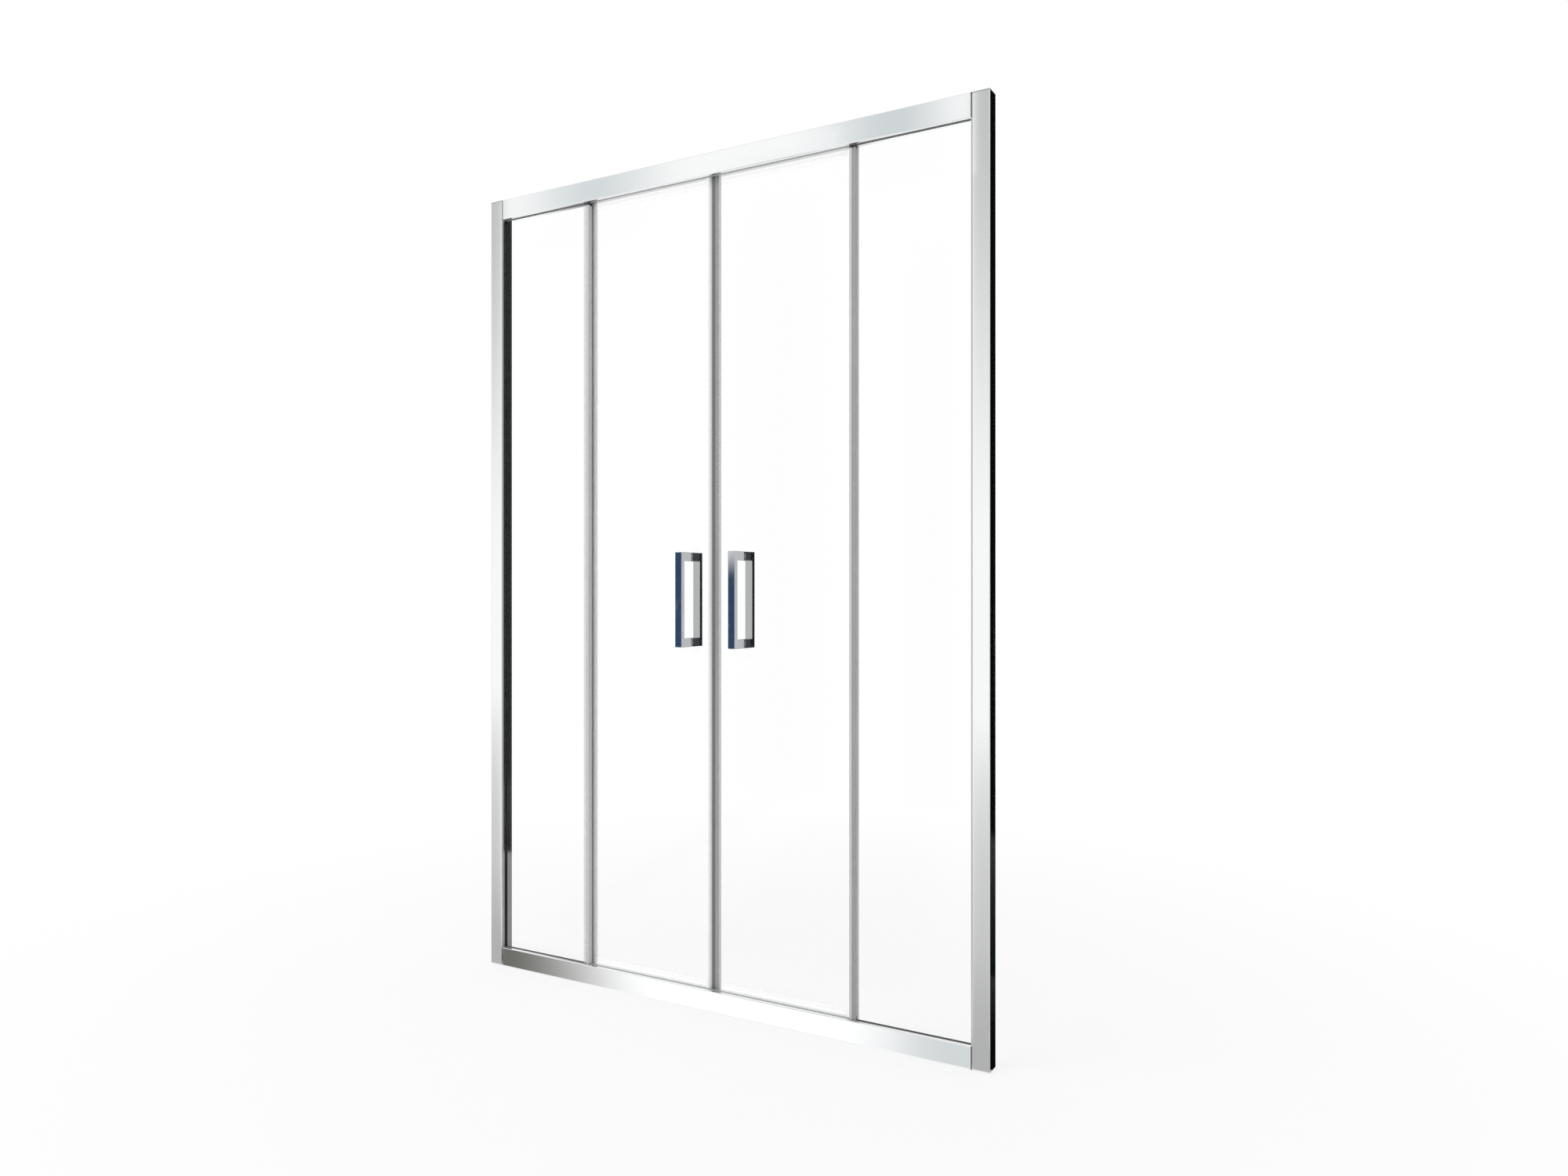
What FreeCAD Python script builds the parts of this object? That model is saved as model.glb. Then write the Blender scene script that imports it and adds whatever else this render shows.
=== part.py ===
"""Framed sliding shower door: two fixed panes, two sliding panes that part in the middle.

Frame: X runs along the door (right positive, zero at the middle), Y from the outside into the
shower, Z up.  The origin is the middle of the sill's underside.  All sizes are millimetres.
"""

import FreeCAD, Part
import math
import os
import Sketcher

SIZES = {
    # whole door
    "door_width": 1300.0,
    "door_height": 1900.0,
    # rails: depth from outside to inside, wall of the extrusion, height of the outer faces
    "rail_depth": 46.0,
    "rail_wall": 1.8,
    "header_face": 48.5,
    "sill_face": 46.0,
    "sill_dam_height": 14.0,
    "edge_radius": 1.3,
    # screw ports in the rails
    "port_bore_radius": 1.75,
    "port_wall": 1.5,
    "port_sink": 0.6,
    "rear_port_setback": 24.0,
    # wall channels and the posts nested in them
    "jamb_face": 36.0,
    "jamb_depth": 34.0,
    "channel_wall": 1.8,
    "post_reach": 3.0,
    "post_width": 30.0,
    "post_wall": 1.5,
    "post_lip": 2.0,
    "post_gap": 0.3,
    "cap_thickness": 2.0,
    "cap_peg_depth": 3.2,
    "cap_peg_height": 10.0,
    "cap_peg_inset": 4.0,
    "cap_relief": 1.4,
    "cap_relief_gap": 0.4,
    # wall fixings: hole radius, distance of the outer pair from the ends, pitch of the inner pair
    "wall_hole_radius": 2.75,
    "wall_hole_inset": 150.0,
    "wall_hole_pitch": 600.0,
    # glass and its glazing slots
    "glass_thickness": 6.0,
    "fixed_setback": 8.5,
    "sliding_setback": 23.5,
    "slot_depth": 14.0,
    "glass_bite": 11.0,
    "gasket_wall": 1.2,
    "gasket_proud": 0.6,
    "infill_gap": 0.1,
    "infill_wall": 1.6,
    "infill_leg": 7.0,
    # panels along the door
    "fixed_reach": 305.0,
    "panel_overlap": 10.0,
    "lead_gap": 0.15,
    "glass_bottom": 9.5,
    "glass_top_gap": 12.0,
    # seals
    "seal_leg": 1.3,
    "fixed_seal_width": 14.0,
    "fixed_seal_base": 1.5,
    "fixed_fin_depth": 4.0,
    "fixed_fin_thickness": 1.8,
    "trail_seal_width": 18.4,
    "trail_seal_base": 1.8,
    "trail_fin_thickness": 3.4,
    "trail_fin_clearance": 0.5,
    "trail_fin_inset": 3.0,
    "trail_fin_slope": 6.0,
    "lead_seal_width": 14.5,
    "nose_width": 6.4,
    "nose_half_depth": 6.0,
    "nose_wall": 0.8,
    "nose_taper": 1.2,
    "magnet_gap": 0.1,
    "sliding_seal_inset": 2.0,
    # splash strips on the sliding panes
    "strip_thickness": 1.2,
    "strip_height": 19.0,
    "strip_hidden": 6.0,
    "strip_bead": 3.0,
    "strip_bead_lift": 0.5,
    "strip_end_gap": 2.0,
    # track beads and wheels
    "track_setback": 37.0,
    "bead_width": 1.8,
    "bead_height": 4.0,
    "header_bead_drop": 34.0,
    "sill_bead_top": 8.0,
    "ledge_lip": 2.6,
    "wheel_radius": 11.0,
    "groove_radius": 9.5,
    "wheel_width": 7.0,
    "groove_floor": 2.6,
    "wheel_rim": 1.2,
    "wheel_gap": 0.2,
    "inner_wheel_place": 60.0,
    "outer_wheel_inset": 53.2,
    "running_fit": 0.05,
    "bearing_radius": 5.0,
    "bearing_width": 4.0,
    "bearing_ring": 0.9,
    "bearing_shield_sink": 0.3,
    "bearing_lip": 0.8,
    # axle studs through the sliding glass
    "stud_radius": 4.0,
    "stud_hole_radius": 5.0,
    "stud_flange_radius": 6.5,
    "stud_flange_thickness": 2.2,
    "stud_shoulder_radius": 3.6,
    "shoulder_gap": 0.1,
    "axle_radius": 2.5,
    "axle_tail": 1.5,
    "nut_radius": 7.5,
    "nut_thickness": 4.0,
    "nut_gap": 0.05,
    "clip_radius": 4.5,
    "clip_thickness": 0.8,
    "clip_gap": 0.2,
    "washer_thickness": 1.0,
    "stud_washer_radius": 7.0,
    # travel and its stops
    "travel": 250.0,
    "stop_gap": 0.3,
    "stop_length": 14.0,
    "stop_height": 16.0,
    "stop_wall": 2.4,
    "stop_bead_gap": 0.15,
    # handles
    "handle_height": 911.0,
    "handle_length": 213.0,
    "handle_width": 18.0,
    "handle_standoff": 37.5,
    "handle_grip": 11.5,
    "handle_leg": 20.0,
    "handle_place": 70.0,
    "handle_edge": 0.8,
    "handle_bolt_radius": 3.0,
    "handle_bolt_bite": 12.0,
    "handle_bolt_end_gap": 0.5,
    "handle_hole_radius": 5.0,
    "handle_washer_radius": 8.0,
    # screws
    "screw_radius": 1.6,
    "screw_head_radius": 3.6,
    "screw_head_thickness": 2.4,
    "screw_head_round": 1.0,
    "screw_hole_gap": 0.2,
    "screw_bite": 14.0,
    "jamb_screw_length": 8.0,
    "jamb_screw_inset": 90.0,
    "jamb_screw_setback": 12.0,
    # caps on the rear half of the rails' ends, weep slots in the sill
    "end_cap_thickness": 2.0,
    "end_cap_gap": 0.5,
    "end_plug_length": 8.0,
    "end_plug_gap": 0.1,
    "end_plug_size": 4.0,
    "weep_length": 20.0,
    "weep_height": 4.0,
    "weep_place": 200.0,
}

LEFT, RIGHT = -1, 1
SIDES = {"left": LEFT, "right": RIGHT}
UPPER, LOWER = "upper", "lower"


class Size:
    """A length driven by the sheet: the expression that binds it and its present value."""

    def __init__(self, text, value):
        self.text = text
        self.value = value

    def _joined(self, sign, other, value):
        return Size(f"({self.text} {sign} {as_size(other).text})", value)

    def __add__(self, other):
        return self._joined("+", other, self.value + as_size(other).value)

    def __sub__(self, other):
        return self._joined("-", other, self.value - as_size(other).value)

    def __mul__(self, other):
        return self._joined("*", other, self.value * as_size(other).value)

    def __truediv__(self, other):
        return self._joined("/", other, self.value / as_size(other).value)

    def __neg__(self):
        return Size(f"(-1 * {self.text})", -self.value)

    __rmul__ = __mul__


def as_size(number):
    """Return a plain number as a Size, and a Size as it is."""
    if isinstance(number, Size):
        return number
    return Size(f"({number})", float(number))


class Sheet:
    """The driving dimensions, each readable as an attribute that gives a Size."""

    def __init__(self, doc, sizes):
        self.cells = doc.addObject("Spreadsheet::Sheet", "sizes")
        for row, (alias, value) in enumerate(sizes.items(), start=1):
            self.cells.set(f"A{row}", alias)
            self.cells.set(f"B{row}", f"{value}")
            self.cells.setAlias(f"B{row}", alias)
            setattr(self, alias, Size(f"sizes.{alias}", value))
        doc.recompute()


class Polygon:
    """A closed outline of straight edges; every corner is placed by the sheet."""

    def __init__(self, corners):
        self.corners = [(as_size(u), as_size(v)) for u, v in corners]

    def draw(self, sketch):
        """Draw the outline in the sketch and bind its corners."""
        places = [FreeCAD.Vector(u.value, v.value, 0) for u, v in self.corners]
        ends = places[1:] + places[:1]
        edges = [Part.LineSegment(a, b) for a, b in zip(places, ends)]
        ids = sketch.addGeometry(edges)
        links = [
            Sketcher.Constraint("Coincident", one, 2, other, 1)
            for one, other in zip(ids, ids[1:] + ids[:1])
        ]
        sketch.addConstraint(links)
        for edge, (u, v) in zip(ids, self.corners):
            bind_point(sketch, edge, 1, u, v)


class Circle:
    """A full circle whose centre and radius are placed by the sheet."""

    def __init__(self, u, v, radius):
        self.u, self.v, self.radius = as_size(u), as_size(v), as_size(radius)

    def draw(self, sketch):
        """Draw the circle in the sketch and bind it."""
        centre = FreeCAD.Vector(self.u.value, self.v.value, 0)
        circle = Part.Circle(centre, FreeCAD.Vector(0, 0, 1), self.radius.value)
        edge = sketch.addGeometry(circle)
        bind_point(sketch, edge, 3, self.u, self.v)
        limit = sketch.addConstraint(Sketcher.Constraint("Radius", edge, self.radius.value))
        sketch.setExpression(f"Constraints[{limit}]", self.radius.text)


def bind_point(sketch, edge, end, u, v):
    """Hold one point of an edge at the sheet's coordinates in the sketch."""
    for direction, place in (("DistanceX", u), ("DistanceY", v)):
        limit = Sketcher.Constraint(direction, -1, 1, edge, end, place.value)
        index = sketch.addConstraint(limit)
        sketch.setExpression(f"Constraints[{index}]", place.text)


def rectangle(u0, v0, u1, v1):
    """Return the outline of an upright rectangle."""
    return Polygon([(u0, v0), (u1, v0), (u1, v1), (u0, v1)])


def ring(u, v, outer, inner):
    """Return the two circles of a ring."""
    return [Circle(u, v, outer), Circle(u, v, inner)]


def hexagon(u, v, radius):
    """Return a regular hexagon by its corner radius."""
    turns = [math.radians(60 * step) for step in range(6)]
    return Polygon([(u + radius * math.cos(a), v + radius * math.sin(a)) for a in turns])


class Piece:
    """One named sub-part: a body whose prisms and revolutions are bound to the sheet."""

    built = []

    def __init__(self, name):
        self.body = DOC.addObject("PartDesign::Body", name)
        self.body.Label = name
        self.body.AllowCompound = True
        Piece.built.append(self)

    def _sketch(self, plane, outlines):
        sketch = self.body.newObject("Sketcher::SketchObject", f"outline_{plane}")
        origin = self.body.Origin.OriginFeatures
        support = next(feature for feature in origin if feature.Role == plane)
        sketch.AttachmentSupport = [(support, "")]
        sketch.MapMode = "FlatFace"
        for outline in outlines:
            outline.draw(sketch)
        return sketch

    def _prism(self, kind, plane, start, end, outlines):
        """Extrude outlines from one coordinate to a larger one along the plane's axis."""
        start, end = as_size(start), as_size(end)
        backwards = plane == "XZ_Plane"
        sketch = self._sketch(plane, outlines)
        offset = -start if backwards else start
        sketch.setExpression("AttachmentOffset.Base.z", offset.text)
        feature = self.body.newObject(kind, kind.split("::")[1])
        feature.Profile = sketch
        feature.setExpression("Length", (end - start).text)
        cuts = kind.endswith("Pocket")
        feature.Reversed = backwards != cuts
        DOC.recompute()
        return feature

    def add(self, plane, start, end, *outlines):
        """Add a prism between two coordinates along the axis of the plane."""
        self._prism("PartDesign::Pad", plane, start, end, outlines)
        return self

    def cut(self, plane, start, end, *outlines):
        """Cut a prism between two coordinates along the axis of the plane."""
        before = self.body.Shape.Volume
        self._prism("PartDesign::Pocket", plane, start, end, outlines)
        if self.body.Shape.Volume >= before:
            raise RuntimeError(f"{self.body.Label}: a cut removed nothing")
        return self

    def revolve(self, profile):
        """Turn a profile of (along the axis, radius) round the Y axis."""
        sketch = self._sketch("YZ_Plane", [profile])
        turned = self.body.newObject("PartDesign::Revolution", "Revolution")
        turned.Profile = sketch
        turned.ReferenceAxis = (sketch, ["H_Axis"])
        turned.Angle = 360
        DOC.recompute()
        return self

    def round_edges(self, radius, chosen):
        """Round the edges for which chosen(edge) is true."""
        shape = self.body.Shape
        names = [f"Edge{n}" for n, edge in enumerate(shape.Edges, start=1) if chosen(edge)]
        if not names:
            raise RuntimeError(f"{self.body.Label}: no edge to round")
        tip = self.body.Tip
        fillet = self.body.newObject("PartDesign::Fillet", "Fillet")
        fillet.Base = (tip, names)
        fillet.setExpression("Radius", radius.text)
        DOC.recompute()
        return self

    def place(self, x, y, z):
        """Set the body down at a point given by the sheet."""
        for axis, coordinate in zip("xyz", (x, y, z)):
            self.body.setExpression(f"Placement.Base.{axis}", as_size(coordinate).text)
        return self


def span(side, near, far):
    """Return two |X| values, near the middle and far from it, as rising X on one side."""
    return (near, far) if side == RIGHT else (-far, -near)


def runs_through(*points):
    """Return a test for the edges that pass through one of the points given as (x, y, z) sizes."""
    places = [FreeCAD.Vector(*(as_size(c).value for c in point)) for point in points]

    def test(edge):
        return any(edge.distToShape(Part.Vertex(place))[0] < 1e-6 for place in places)

    return test


DOC = FreeCAD.newDocument("sliding_shower_door")
size = Sheet(DOC, SIZES)

# planes across the door (Y), from the outside in
front = -size.rail_depth / 2
rear = size.rail_depth / 2
jamb_back = front + size.jamb_depth
fixed_front = front + size.fixed_setback
fixed_back = fixed_front + size.glass_thickness
slot_front = fixed_front - size.gasket_wall
slot_back = fixed_back + size.gasket_wall
web_back = slot_back + size.rail_wall
slide_front = front + size.sliding_setback
slide_back = slide_front + size.glass_thickness
slide_middle = slide_front + size.glass_thickness / 2
track = front + size.track_setback
bead_front = track - size.bead_width / 2
bead_back = track + size.bead_width / 2
ledge_front = track - size.ledge_lip
post_front = front + size.channel_wall + size.post_gap
post_back = jamb_back - size.channel_wall - size.post_gap
front_port = fixed_front + size.glass_thickness / 2
rear_port = front + size.rear_port_setback

# places along the door (|X|), from the middle out
half = size.door_width / 2
fixed_end = half - size.fixed_reach
trail_end = fixed_end + size.panel_overlap
lead_glass = size.lead_gap + size.nose_width
trail_glass = trail_end - size.trail_seal_base
channel_mouth = half - size.jamb_face
mouth = channel_mouth - size.post_reach
slot_end = mouth + size.slot_depth
post_end = mouth + size.post_width
outer_wheel = trail_glass - size.outer_wheel_inset
wheel_places = (size.inner_wheel_place, outer_wheel)

# heights (Z)
top = size.door_height
header_bottom = top - size.header_face
header_slot_top = header_bottom + size.slot_depth
sill_slot_floor = size.sill_face - size.slot_depth
jamb_top = top - size.cap_thickness
header_bead_top = top - size.header_bead_drop
ledge_top = header_bead_top - size.bead_height
ledge_bottom = ledge_top - size.rail_wall
axis_height = {
    UPPER: header_bead_top + size.wheel_gap + size.groove_radius,
    LOWER: size.sill_bead_top + size.wheel_gap + size.groove_radius,
}
port_radius = size.port_bore_radius + size.port_wall
port_lift = size.rail_wall + port_radius - size.port_sink
port_heights = (port_lift, top - port_lift)
screw_hole = size.screw_radius + size.screw_hole_gap
glass_top = top - size.glass_top_gap
seal_bottom = size.glass_bottom + size.sliding_seal_inset
seal_top = glass_top - size.sliding_seal_inset

# stack of the axle studs along Y, and of the wheels on them
flange_front = slide_back + size.washer_thickness
flange_back = flange_front + size.stud_flange_thickness
wheel_front = track - size.wheel_width / 2
wheel_back = track + size.wheel_width / 2
bearing_front = track - size.bearing_width / 2
bearing_back = track + size.bearing_width / 2
clip_front = wheel_back + size.clip_gap
axle_end = clip_front + size.clip_thickness + size.axle_tail
nut_back = slide_front - size.washer_thickness
nut_front = nut_back - size.nut_thickness
stud_places = {
    level: [(place, height) for place in wheel_places] for level, height in axis_height.items()
}

# handles: bases on their washers, screws in the middle of the legs
outer_base = slide_front - size.washer_thickness
inner_base = slide_back + size.washer_thickness
handle_bottom = size.handle_height - size.handle_length / 2
handle_top = size.handle_height + size.handle_length / 2
bolt_heights = (handle_bottom + size.handle_leg / 2, handle_top - size.handle_leg / 2)
jamb_screw_place = channel_mouth + size.jamb_screw_setback
jamb_screw_heights = (size.jamb_screw_inset, top / 2, top - size.jamb_screw_inset)


def wall_channel(side, name):
    """U channel screwed to the wall; its outer flange is the polished face of the jamb."""
    wall, web, lip = side * half, side * (half - size.channel_wall), side * channel_mouth
    outer, inner = front + size.channel_wall, jamb_back - size.channel_wall
    section = Polygon([
        (wall, front), (lip, front), (lip, outer), (web, outer),
        (web, inner), (lip, inner), (lip, jamb_back), (wall, jamb_back),
    ])
    piece = Piece(name).add("XY_Plane", 0, jamb_top, section)
    corners = [(wall, front, top / 2), (lip, front, top / 2), (wall, jamb_back, top / 2)]
    piece.round_edges(size.edge_radius, runs_through(*corners))
    middle = front + size.jamb_depth / 2
    heights = (
        size.wall_hole_inset, top / 2 - size.wall_hole_pitch / 2,
        top / 2 + size.wall_hole_pitch / 2, top - size.wall_hole_inset,
    )
    holes = [Circle(middle, height, size.wall_hole_radius) for height in heights]
    piece.cut("YZ_Plane", *span(side, half - size.channel_wall, half), *holes)
    place = side * jamb_screw_place
    screws = [Circle(place, height, screw_hole) for height in jamb_screw_heights]
    piece.cut("XZ_Plane", inner, jamb_back, *screws)


def frame_post(side, name):
    """Hollow glazing post that slides in the wall channel; its slot holds the fixed pane."""
    lip, slot, back = side * mouth, side * slot_end, side * post_end
    wall = size.post_wall
    nose = side * (mouth + size.post_lip)
    outline = Polygon([
        (back, slot_front - wall), (nose, slot_front - wall), (nose, post_front), (lip, post_front),
        (lip, slot_front), (slot, slot_front), (slot, slot_back), (lip, slot_back),
        (lip, post_back), (back, post_back),
    ])
    hollow = Polygon([
        (side * (post_end - wall), slot_front), (side * (slot_end + wall), slot_front),
        (side * (slot_end + wall), slot_back + wall), (side * (mouth + wall), slot_back + wall),
        (side * (mouth + wall), post_back - wall), (side * (post_end - wall), post_back - wall),
    ])
    piece = Piece(name).add("XY_Plane", 0, jamb_top, outline, hollow)
    ports = [Circle(y, z, screw_hole) for y in (front_port, rear_port) for z in port_heights]
    piece.cut("YZ_Plane", *span(side, mouth, post_end), *ports)
    place = side * jamb_screw_place
    screws = [Circle(place, height, screw_hole) for height in jamb_screw_heights]
    piece.cut("XZ_Plane", post_back - wall, post_back, *screws)


def header_rail(name):
    """Hollow header: glazing channel in front, open roller chamber with its track behind."""
    wall = size.rail_wall
    leg = slot_front - wall
    outline = Polygon([
        (front, top), (rear, top), (rear, ledge_bottom), (ledge_front, ledge_bottom),
        (ledge_front, ledge_top), (bead_front, ledge_top), (bead_front, header_bead_top),
        (bead_back, header_bead_top), (bead_back, ledge_top), (rear - wall, ledge_top),
        (rear - wall, top - wall), (web_back, top - wall), (web_back, header_bottom),
        (slot_back, header_bottom), (slot_back, header_slot_top), (slot_front, header_slot_top),
        (slot_front, header_bottom), (front, header_bottom),
    ])
    hollow = Polygon([
        (front + wall, top - wall), (slot_back, top - wall), (slot_back, header_slot_top + wall),
        (leg, header_slot_top + wall), (leg, header_bottom + wall),
        (front + wall, header_bottom + wall),
    ])
    piece = Piece(name).add("YZ_Plane", -mouth, mouth, outline, hollow)
    add_ports(piece, top - port_lift)
    edges = runs_through((0, front, top), (0, front, header_bottom), (0, rear, top))
    piece.round_edges(size.edge_radius, edges)


def sill_rail(name):
    """Hollow sill: glazing channel in front, open gutter with the guide bead behind."""
    wall = size.rail_wall
    leg = slot_front - wall
    outline = Polygon([
        (front, 0), (front, size.sill_face), (slot_front, size.sill_face),
        (slot_front, sill_slot_floor), (slot_back, sill_slot_floor), (slot_back, size.sill_face),
        (web_back, size.sill_face), (web_back, wall), (bead_front, wall),
        (bead_front, size.sill_bead_top), (bead_back, size.sill_bead_top), (bead_back, wall),
        (rear - wall, wall), (rear - wall, size.sill_dam_height), (rear, size.sill_dam_height),
        (rear, 0),
    ])
    hollow = Polygon([
        (front + wall, wall), (front + wall, size.sill_face - wall), (leg, size.sill_face - wall),
        (leg, sill_slot_floor - wall), (slot_back, sill_slot_floor - wall), (slot_back, wall),
    ])
    piece = Piece(name).add("YZ_Plane", -mouth, mouth, outline, hollow)
    add_ports(piece, port_lift)
    edges = runs_through((0, front, size.sill_face), (0, rear, size.sill_dam_height))
    piece.round_edges(size.edge_radius, edges)
    weeps = [
        rectangle(x - size.weep_length / 2, wall, x + size.weep_length / 2, wall + size.weep_height)
        for x in (-size.weep_place, size.weep_place)
    ]
    piece.cut("XZ_Plane", rear - wall, rear, *weeps)


def add_ports(piece, height):
    """Add the two screw ports of a rail, as tubes along it."""
    tubes = [Circle(y, height, port_radius) for y in (front_port, rear_port)]
    bores = [Circle(y, height, size.port_bore_radius) for y in (front_port, rear_port)]
    piece.add("YZ_Plane", -mouth, mouth, *tubes)
    piece.cut("YZ_Plane", -mouth, mouth, *bores)


def fixed_glass(side, name):
    """Fixed pane, held in the post, the header and the sill."""
    near, far = side * (fixed_end + size.fixed_seal_base), side * (mouth + size.glass_bite)
    low = size.sill_face - size.glass_bite
    high = header_bottom + size.glass_bite
    Piece(name).add("XZ_Plane", fixed_front, fixed_back, rectangle(near, low, far, high))


def post_gasket(side, name):
    """Rubber U gasket between the post's slot and the edge of the fixed pane."""
    lip = side * (mouth - size.gasket_proud)
    edge, end = side * (mouth + size.glass_bite), side * slot_end
    section = Polygon([
        (lip, slot_front), (end, slot_front), (end, slot_back), (lip, slot_back),
        (lip, fixed_back), (edge, fixed_back), (edge, fixed_front), (lip, fixed_front),
    ])
    Piece(name).add("XY_Plane", size.sill_face, header_bottom, section)


def rail_gaskets(name, lip, edge, end):
    """Rubber U gaskets of one rail, one length for each fixed pane."""
    section = Polygon([
        (slot_front, lip), (slot_front, end), (slot_back, end), (slot_back, lip),
        (fixed_back, lip), (fixed_back, edge), (fixed_front, edge), (fixed_front, lip),
    ])
    piece = Piece(name)
    for side in SIDES.values():
        near = fixed_end + size.fixed_seal_base
        far = mouth - size.gasket_proud
        piece.add("YZ_Plane", *span(side, near, far), section)


def infill_strip(name, face, inward):
    """Cover that closes a rail's glazing channel between the fixed panes."""
    low, high = slot_front + size.infill_gap, slot_back - size.infill_gap
    wall = size.infill_wall
    floor, tip = face + inward * wall, face + inward * size.infill_leg
    section = Polygon([
        (low, face), (high, face), (high, tip), (high - wall, tip),
        (high - wall, floor), (low + wall, floor), (low + wall, tip), (low, tip),
    ])
    Piece(name).add("YZ_Plane", -fixed_end, fixed_end, section)


def fixed_edge_seal(side, name):
    """Clip-on seal on the free edge of a fixed pane, with a fin towards the sliding pane."""
    end, edge = side * fixed_end, side * (fixed_end + size.fixed_seal_base)
    leg_end = side * (fixed_end + size.fixed_seal_width)
    fin = side * (fixed_end + size.fixed_fin_thickness)
    outer, inner = fixed_front - size.seal_leg, fixed_back + size.seal_leg
    tip = inner + size.fixed_fin_depth
    section = Polygon([
        (end, outer), (leg_end, outer), (leg_end, fixed_front), (edge, fixed_front),
        (edge, fixed_back), (leg_end, fixed_back), (leg_end, inner), (fin, inner),
        (fin, tip), (end, tip),
    ])
    low, high = size.sill_face + size.gasket_proud, header_bottom - size.gasket_proud
    Piece(name).add("XY_Plane", low, high, section)


def jamb_caps(name):
    """Moulded caps that close the tops of channel and post, each with a peg in the post."""
    piece = Piece(name)
    for side in SIDES.values():
        piece.add("XY_Plane", jamb_top, top, rectangle(side * mouth, front, side * half, jamb_back))
        near = side * (post_end - size.cap_relief_gap)
        far = side * (post_end + size.screw_head_thickness + size.cap_relief_gap)
        clear = size.screw_head_radius + size.cap_relief_gap
        relief = rectangle(near, front_port - clear, far, rear_port + clear)
        piece.cut("XY_Plane", jamb_top, jamb_top + size.cap_relief, relief)
        near = side * (mouth + size.post_wall + size.cap_peg_inset)
        far = side * (post_end - size.post_wall - size.cap_peg_inset)
        back = post_back - size.post_wall - size.post_gap
        peg = rectangle(near, back - size.cap_peg_depth, far, back)
        piece.add("XY_Plane", jamb_top - size.cap_peg_height, jamb_top, peg)


def corner_screws(name):
    """Screws that pull the posts onto the ends of the rails: two at each corner."""
    places = [(y, z) for y in (front_port, rear_port) for z in port_heights]
    shanks = [Circle(y, z, size.screw_radius) for y, z in places]
    heads = [Circle(y, z, size.screw_head_radius) for y, z in places]
    piece = Piece(name)
    for side in SIDES.values():
        piece.add("YZ_Plane", *span(side, mouth - size.screw_bite, post_end), *shanks)
        piece.add("YZ_Plane", *span(side, post_end, post_end + size.screw_head_thickness), *heads)


def jamb_screws(name):
    """Pan head screws that clamp each post in its wall channel, seen from inside the shower."""
    places = [(side * jamb_screw_place, z) for side in SIDES.values() for z in jamb_screw_heights]
    shanks = [Circle(x, z, size.screw_radius) for x, z in places]
    heads = [Circle(x, z, size.screw_head_radius) for x, z in places]
    piece = Piece(name).add("XZ_Plane", jamb_back - size.jamb_screw_length, jamb_back, *shanks)
    head_end = jamb_back + size.screw_head_thickness
    piece.add("XZ_Plane", jamb_back, head_end, *heads)

    def rim(edge):
        curve = edge.Curve
        on_face = abs(edge.BoundBox.YMin - head_end.value) < 1e-6
        return isinstance(curve, Part.Circle) and on_face and edge.BoundBox.YLength < 1e-6

    piece.round_edges(size.screw_head_round, rim)


def door_stops(name):
    """Stop blocks clipped over the header's bead at both ends of the travel."""
    near = outer_wheel + size.travel + size.wheel_radius + size.stop_gap
    low, high = ledge_top, ledge_top + size.stop_height
    gap = size.stop_bead_gap
    notch_top = header_bead_top + gap
    section = Polygon([
        (bead_front - gap - size.stop_wall, low), (bead_front - gap, low),
        (bead_front - gap, notch_top), (bead_back + gap, notch_top), (bead_back + gap, low),
        (bead_back + gap + size.stop_wall, low), (bead_back + gap + size.stop_wall, high),
        (bead_front - gap - size.stop_wall, high),
    ])
    piece = Piece(name)
    for side in SIDES.values():
        piece.add("YZ_Plane", *span(side, near, near + size.stop_length), section)


def rail_end_caps(name):
    """Caps on the rear half of the rails' ends, which stands behind the posts."""
    gap, plug = size.end_plug_gap, size.end_plug_size
    outer, inner = jamb_back + size.end_cap_gap, rear - size.rail_wall - gap
    under = top - size.rail_wall - gap
    over = size.rail_wall + gap
    piece = Piece(name)
    for side in SIDES.values():
        plates = span(side, mouth, mouth + size.end_cap_thickness)
        header_plate = rectangle(outer, ledge_bottom, rear, top)
        sill_plate = rectangle(outer, 0, rear, size.sill_dam_height)
        piece.add("YZ_Plane", *plates, header_plate, sill_plate)
        plugs = span(side, mouth - size.end_plug_length, mouth)
        header_plug = rectangle(inner - plug, under - plug, inner, under)
        sill_plug = rectangle(inner - plug, over, inner, over + plug)
        piece.add("YZ_Plane", *plugs, header_plug, sill_plug)


def sliding_glass(side, name):
    """Sliding pane with its holes for the axle studs and the handle."""
    pane = rectangle(side * lead_glass, size.glass_bottom, side * trail_glass, glass_top)
    studs = [
        Circle(side * x, z, size.stud_hole_radius) for places in stud_places.values() for x, z in places
    ]
    bolts = [Circle(side * size.handle_place, z, size.handle_hole_radius) for z in bolt_heights]
    Piece(name).add("XZ_Plane", slide_front, slide_back, pane, *studs, *bolts)


def meeting_seal(side, name):
    """Clip-on seal on the leading edge; its hollow nose holds the magnet strip."""
    tip, edge = side * size.lead_gap, side * lead_glass
    leg_end = side * (size.lead_gap + size.lead_seal_width)
    shoulder = side * (lead_glass + size.nose_taper)
    outer, inner = slide_middle - size.nose_half_depth, slide_middle + size.nose_half_depth
    leg_outer, leg_inner = slide_front - size.seal_leg, slide_back + size.seal_leg
    section = Polygon([
        (tip, outer), (edge, outer), (shoulder, leg_outer), (leg_end, leg_outer),
        (leg_end, slide_front), (edge, slide_front), (edge, slide_back), (leg_end, slide_back),
        (leg_end, leg_inner), (shoulder, leg_inner), (edge, inner), (tip, inner),
    ])
    Piece(name).add("XY_Plane", seal_bottom, seal_top, section, nose_hollow(side, 0))


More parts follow.
